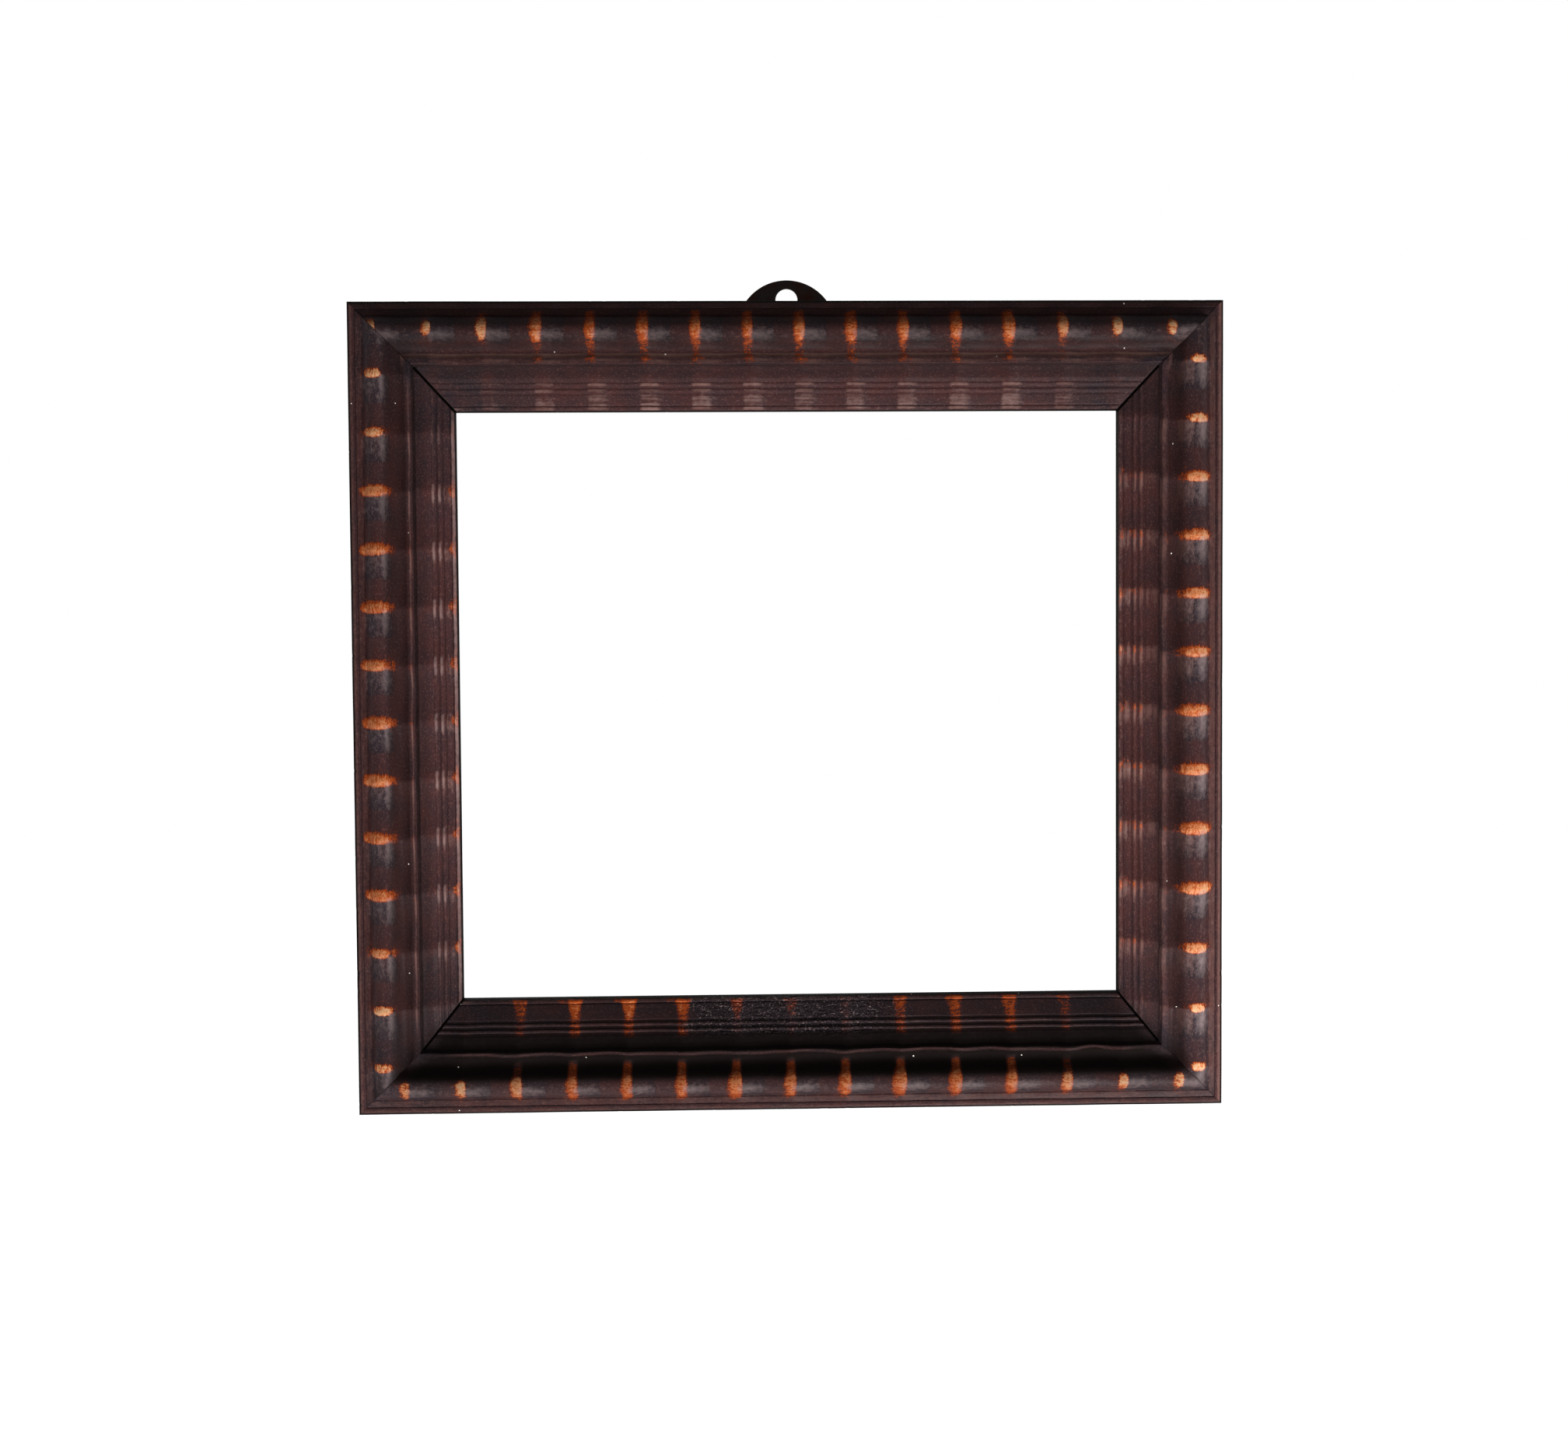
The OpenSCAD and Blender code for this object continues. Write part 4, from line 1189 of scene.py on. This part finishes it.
def ebonised_wood(name):
    """Black-stained wood under old varnish, rubbed through brown and deep red to orange on the ridges.

    The layers stored with a piece's mesh say where it is worn and where highlights and shade are painted,
    and noises give them ragged borders.
    """
    c = setting("colours")
    material, tree, shader = new_finish(name)
    surface = put(tree, "UVMap", uv_map="Surface").outputs[0]
    titles = ("wear", "rubbed", "bloom", "warmth", "dry", "dirt", "soot", "blister")
    layer = {title: put(tree, "Attribute", attribute_name=title).outputs["Fac"] for title in titles}
    grain = stretched_noise(tree, surface, (150, 1300, 1), detail=4.0, roughness=0.62, distortion=0.3)
    fibre = stretched_noise(tree, surface, (420, 4200, 1), detail=3.0, roughness=0.6)
    mottle = stretched_noise(tree, surface, (330, 420, 1), detail=4.0, roughness=0.62)
    cloud = stretched_noise(tree, surface, (70, 110, 1), detail=2.0, roughness=0.5)
    dust = stretched_noise(tree, surface, (900, 1100, 1), detail=2.0, roughness=0.6)

    # Stain: blue-black in the scallops, brown-black where it has thinned, and paler where it is dusty and
    # where it is rubbed, which on the lit flanks is partly painted light.
    thin = unsettle(tree, layer["warmth"], (mottle, 1.0), (cloud, 1.4), (fibre, 0.5))
    stain = blend(tree, between(tree, thin, 0.0, 1.0), c.blue_black, c.brown_black)
    rub = unsettle(tree, layer["rubbed"], (grain, 0.5), (mottle, 0.5))
    stain = blend(tree, between(tree, rub, 0.1, 1.0), stain, c.rubbed)
    stain = blend(tree, between(tree, dust, 0.54, 0.74, 0.0, 0.4), stain, c.rubbed)

    # Bare wood: polished where it is handled, pale where it is dry.
    ragged = unsettle(tree, 0.0, (grain, 1.0), (mottle, 1.2), (dust, 1.2))
    raggedness = between(tree, layer["wear"], 0.05, 0.6, 0.4, 1.35)
    worn = add_up(tree, layer["wear"], (ragged, raggedness))
    worn = maths(tree, "MULTIPLY", worn, between(tree, layer["blister"], 0.0, 1.0, 1.0, 0.5))
    depth = maths(tree, "MULTIPLY", worn, 0.6)
    handled = [(0.16, c.deep_red), (0.42, c.orange), (0.56, c.orange), (0.8, c.light_orange)]
    dried = [(0.16, c.deep_red), (0.36, c.orange), (0.52, c.light_orange), (0.7, c.tan)]
    handled = colour_steps(tree, depth, handled)
    bare = blend(tree, layer["dry"], handled, colour_steps(tree, depth, dried))
    painted = blend(tree, between(tree, worn, 0.24, 0.54), stain, bare)

    # What lies on it: the painted highlight, each rail's darkening with its painted shade, painted glints
    # on the blistered varnish, grime with painted shade, and specks.
    # Painted highlights, blended in as a pale colour.
    shine = unsettle(tree, layer["bloom"], (mottle, 0.8), (fibre, 0.5))
    painted = blend(tree, between(tree, shine, 0.08, 1.1), painted, c.bloom)
    painted = blend(tree, layer["soot"], painted, c.dirt)
    # Painted glints: pale spots on the blistered varnish that stand in for its sparkle in the light.
    painted_glint = maths(tree, "MULTIPLY", between(tree, dust, 0.53, 0.72, 0.0, 0.6), layer["blister"])
    painted_glint = maths(tree, "MULTIPLY", between(tree, mottle, 0.42, 0.6), painted_glint)
    painted = blend(tree, painted_glint, painted, c.bloom)
    # Grime in joints and mitres, and painted shade in hollows, steps, grooves and on the inner face, in
    # the near-black colour.
    darkening_share = between(tree, unsettle(tree, layer["dirt"], (mottle, 0.5)), 0.1, 0.8)
    painted = blend(tree, darkening_share, painted, c.dirt)
    spots = stretched_cells(tree, surface, (210, 210, 1))
    chosen = between(tree, put(tree, "SeparateColor", {0: spots["Color"]}).outputs[0], 0.94, 0.95)
    speck = maths(tree, "MULTIPLY", chosen, between(tree, spots["Distance"], 0.06, 0.1, 1.0, 0.0))
    painted = blend(tree, speck, painted, c.speck)

    rough = add_up(tree, 0.24, (mottle, 0.2), (darkening_share, 0.5))
    rough = maths(tree, "ADD", rough, between(tree, worn, 0.3, 0.7, 0.0, 0.14))

    # Grain, marks of the ripple cutter and cracks between the blisters.
    marks = {"Scale": 100.0, "Distortion": 2.5, "Detail": 2.0, "Detail Scale": 1.5}
    edges = stretched_cells(tree, surface, (620, 900, 1), feature="DISTANCE_TO_EDGE")["Distance"]
    cracks = maths(tree, "MULTIPLY", between(tree, edges, 0.0, 0.25), layer["blister"])
    chatter = bands(tree, surface, "X", marks)
    height = add_up(tree, fibre, (grain, 0.55), (chatter, 0.25), (mottle, 0.6), (cracks, 3.0))
    looks = {
        "Base Color": painted,
        "Roughness": rough,
        "Specular IOR Level": 0.04,
        "Specular Tint": (1.0, 0.9, 0.9, 1.0),
        "Normal": relief(tree, height, 0.07 * MM),
    }
    feed(tree, shader, looks)
    return material


def pine(name, along):
    """Old bare pine. Growth rings run along one axis as long, wavering bands of early and late wood."""
    c = setting("colours")
    material, tree, shader = new_finish(name)
    place = put(tree, "TexCoord").outputs["Object"]
    quarter = (0, 0, 0) if along == "X" else (0, math.radians(90), 0)
    turned = put(tree, "Mapping", {"Vector": place, "Rotation": quarter}).outputs[0]
    lengthwise = (3.6, 60, 60)
    bend = stretched_noise(tree, turned, lengthwise, detail=2.0)
    spread = stretched_noise(tree, turned, (1.2, 16, 16), detail=1.0, roughness=0.4)
    growth = {"Scale": 0.62, "Distortion": 11.0, "Detail": 2.5, "Detail Scale": 0.45}
    growth["Phase Offset"] = maths(tree, "MULTIPLY", spread, 60.0)
    rings = bands(tree, stretched(tree, turned, lengthwise), "Z", growth)
    fibre = stretched_noise(tree, turned, (60, 2600, 2600), detail=3.0, roughness=0.6)
    dirt = stretched_noise(tree, turned, (25, 45, 45), detail=4.0, roughness=0.6)
    late_wood = unsettle(tree, maths(tree, "POWER", rings, 2.2), (fibre, 0.5), (bend, 0.9))
    wood = blend(tree, between(tree, late_wood, 0.0, 1.0), c.pine_light, c.pine_dark)
    looks = {
        "Base Color": blend(tree, between(tree, dirt, 0.48, 0.75, 0.0, 0.6), wood, c.peg),
        "Roughness": 0.72,
        "Specular IOR Level": 0.25,
        "Normal": relief(tree, add_up(tree, fibre, (rings, 0.4)), 0.12 * MM),
    }
    feed(tree, shader, looks)
    return material


def peg_wood(name):
    """End grain: fine dark pores on a brown ground."""
    c = setting("colours")
    material, tree, shader = new_finish(name)
    place = put(tree, "TexCoord").outputs["Object"]
    pores = stretched_noise(tree, place, (2600, 400, 2600), detail=3.0, roughness=0.6)
    cloud = stretched_noise(tree, place, (300, 300, 300), detail=2.0, roughness=0.5)
    share = between(tree, add_up(tree, pores, (cloud, 0.5)), 0.5, 1.0)
    looks = {
        "Base Color": blend(tree, share, c.peg, c.pine_dark),
        "Roughness": 0.75,
        "Normal": relief(tree, pores, 0.08 * MM),
    }
    feed(tree, shader, looks)
    return material


def sheet_iron(name):
    """Dark paint over hammered sheet iron, with rust showing through in patches."""
    c = setting("colours")
    material, tree, shader = new_finish(name)
    place = put(tree, "TexCoord").outputs["Object"]
    blotch = stretched_noise(tree, place, (130, 130, 130), detail=5.0, roughness=0.65)
    pits = stretched_noise(tree, place, (900, 900, 900), detail=3.0, roughness=0.6)
    dents = stretched_noise(tree, place, (180, 180, 180), detail=1.0, roughness=0.4)
    share = add_up(tree, blotch, (pits, 0.3))
    looks = {
        "Base Color": blend(tree, between(tree, share, 0.62, 0.85), c.iron, c.rust),
        "Roughness": between(tree, share, 0.4, 0.9, 0.5, 0.8),
        "Specular IOR Level": 0.12,
        "Normal": relief(tree, add_up(tree, pits, (dents, 3.0)), 0.1 * MM),
    }
    feed(tree, shader, looks)
    return material


def browned_steel(name):
    """Steel gone brown with age."""
    c = setting("colours")
    material, tree, shader = new_finish(name)
    place = put(tree, "TexCoord").outputs["Object"]
    blotch = stretched_noise(tree, place, (500, 500, 500), detail=4.0, roughness=0.6)
    looks = {
        "Base Color": blend(tree, between(tree, blotch, 0.42, 0.7), c.steel, c.rust),
        "Roughness": between(tree, blotch, 0.3, 0.7, 0.35, 0.7),
        "Metallic": 0.75,
        "Normal": relief(tree, blotch, 0.05 * MM),
    }
    feed(tree, shader, looks)
    return material


# Studio


LAMP_SIZES = {"lower": 0.3, "right": 0.3, "left": 0.8, "back": 1.2}
FLOOR_REACH = 12


def seen_directly(tree):
    """1 for camera, glossy and transmission rays, and 0 for the rays that light the object."""
    path = put(tree, "LightPath").outputs
    seen = maths(tree, "MAXIMUM", path["Is Camera Ray"], path["Is Glossy Ray"])
    return maths(tree, "MAXIMUM", seen, path["Is Transmission Ray"])


def add_lamp(name, at, size, level):
    """A square soft lamp that looks at the frame's middle, with its power worked out from its level."""
    away = at - MIDDLE
    lamp = bpy.data.lights.new(name, "AREA")
    lamp.shape = "SQUARE"
    lamp.size = size
    lamp.energy = level * math.pi**2 * away.length_squared
    holder = bpy.data.objects.new(name, lamp)
    holder.matrix_world = Matrix.Translation(at) @ away.to_track_quat("Z", "Y").to_matrix().to_4x4()
    bpy.context.scene.collection.objects.link(holder)


class RIPPLEFRAME_OT_studio(bpy.types.Operator):
    """Sets the camera, the lamps, the white room and the floor"""

    bl_idname = "rippleframe.studio"
    bl_label = "Studio"

    def execute(self, context):
        studio = setting("studio")
        self.set_camera(studio)
        for name, size in LAMP_SIZES.items():
            at = MIDDLE + Vector(getattr(studio, name + "_at"))
            add_lamp(name + " lamp", at, size, getattr(studio, name + "_level"))
        self.set_room(studio)
        self.set_floor(studio)
        context.scene.view_settings.view_transform = "Standard"
        return {"FINISHED"}

    def set_camera(self, studio):
        """Puts the camera where the photo was taken from."""
        camera = bpy.data.cameras.new("camera")
        camera.sensor_width = 36
        camera.lens = studio.focal_mm
        camera.clip_start = 0.01
        holder = bpy.data.objects.new("camera", camera)
        at = MIDDLE + Vector(studio.camera_at)
        look = MIDDLE + Vector(studio.aim_at) - at
        facing = look.to_track_quat("-Z", "Y").to_matrix().to_4x4()
        holder.matrix_world = Matrix.Translation(at) @ facing @ Matrix.Rotation(studio.roll, 4, "Z")
        bpy.context.scene.collection.objects.link(holder)
        bpy.context.scene.camera = holder

    def set_room(self, studio):
        """An even, dim light from all sides, which looks white."""
        world = bpy.data.worlds.new("room")
        bpy.context.scene.world = world
        world.use_nodes = True
        tree = world.node_tree
        tree.nodes.clear()
        strength = between(tree, seen_directly(tree), 0.0, 1.0, studio.fill, 1.0)
        light = put(tree, "Background", {"Color": (1, 1, 1, 1), "Strength": strength})
        put(tree, "OutputWorld", {"Surface": light.outputs[0]})

    def set_floor(self, studio):
        """A wide floor that looks white and hardly lights the frame."""
        material, tree, shader = new_finish("floor")
        looks = {
            "Base Color": (0.85, 0.85, 0.85, 1),
            "Roughness": 0.9,
            "Emission Color": (1, 1, 1, 1),
            "Emission Strength": between(tree, seen_directly(tree), 0.0, 1.0, 0.0, 0.95),
        }
        feed(tree, shader, looks)
        z = FRAME_BOTTOM - studio.floor_drop
        turns = ((-1, -1), (1, -1), (1, 1), (-1, 1))
        corners = [(x * FLOOR_REACH, y * FLOOR_REACH, z) for x, y in turns]
        mesh = bpy.data.meshes.new("floor")
        mesh.from_pydata(corners, [], [(0, 1, 2, 3)])
        mesh.materials.append(material)
        floor = bpy.data.objects.new("floor", mesh)
        bpy.context.scene.collection.objects.link(floor)


class RIPPLEFRAME_PT_panel(bpy.types.Panel):
    """Lists the frame's pieces and sizes"""

    bl_idname = "RIPPLEFRAME_PT_panel"
    bl_label = "Ripple Frame"
    bl_space_type = "VIEW_3D"
    bl_region_type = "UI"
    bl_category = "Ripple Frame"

    def draw(self, context):
        """Shows a button for each operator and a box for each group of properties."""
        layout = self.layout
        for operator in OPERATORS:
            layout.operator(operator.bl_idname)
        for group, holder in GROUPS.items():
            box = layout.box()
            box.label(text=group.capitalize())
            for key in holder.__annotations__:
                box.prop(setting(group), key)


GROUPS = {
    "moulding": MouldingSizes,
    "ripple": RippleSizes,
    "wear": WearLevels,
    "colours": FinishColours,
    "studio": StudioSizes,
}
OPERATORS = (
    RIPPLEFRAME_OT_outer_mouldings,
    RIPPLEFRAME_OT_sight_mouldings,
    RIPPLEFRAME_OT_edge_strips,
    RIPPLEFRAME_OT_carcass,
    RIPPLEFRAME_OT_hanger,
    RIPPLEFRAME_OT_studio,
)
CLASSES = (*GROUPS.values(), *OPERATORS, RIPPLEFRAME_PT_panel)


def register():
    """Registers the classes and adds the groups of properties to the scene."""
    for item in CLASSES:
        bpy.utils.register_class(item)
    for group, holder in GROUPS.items():
        setattr(bpy.types.Scene, "ripple_frame_" + group, PointerProperty(type=holder))


def unregister():
    """Takes them away again."""
    for group in GROUPS:
        delattr(bpy.types.Scene, "ripple_frame_" + group)
    for item in reversed(CLASSES):
        bpy.utils.unregister_class(item)


def main():
    register()
    bpy.ops.rippleframe.outer_mouldings()
    bpy.ops.rippleframe.sight_mouldings()
    bpy.ops.rippleframe.edge_strips()
    bpy.ops.rippleframe.carcass()
    bpy.ops.rippleframe.hanger()
    bpy.ops.rippleframe.studio()


if __name__ == "__main__":
    main()
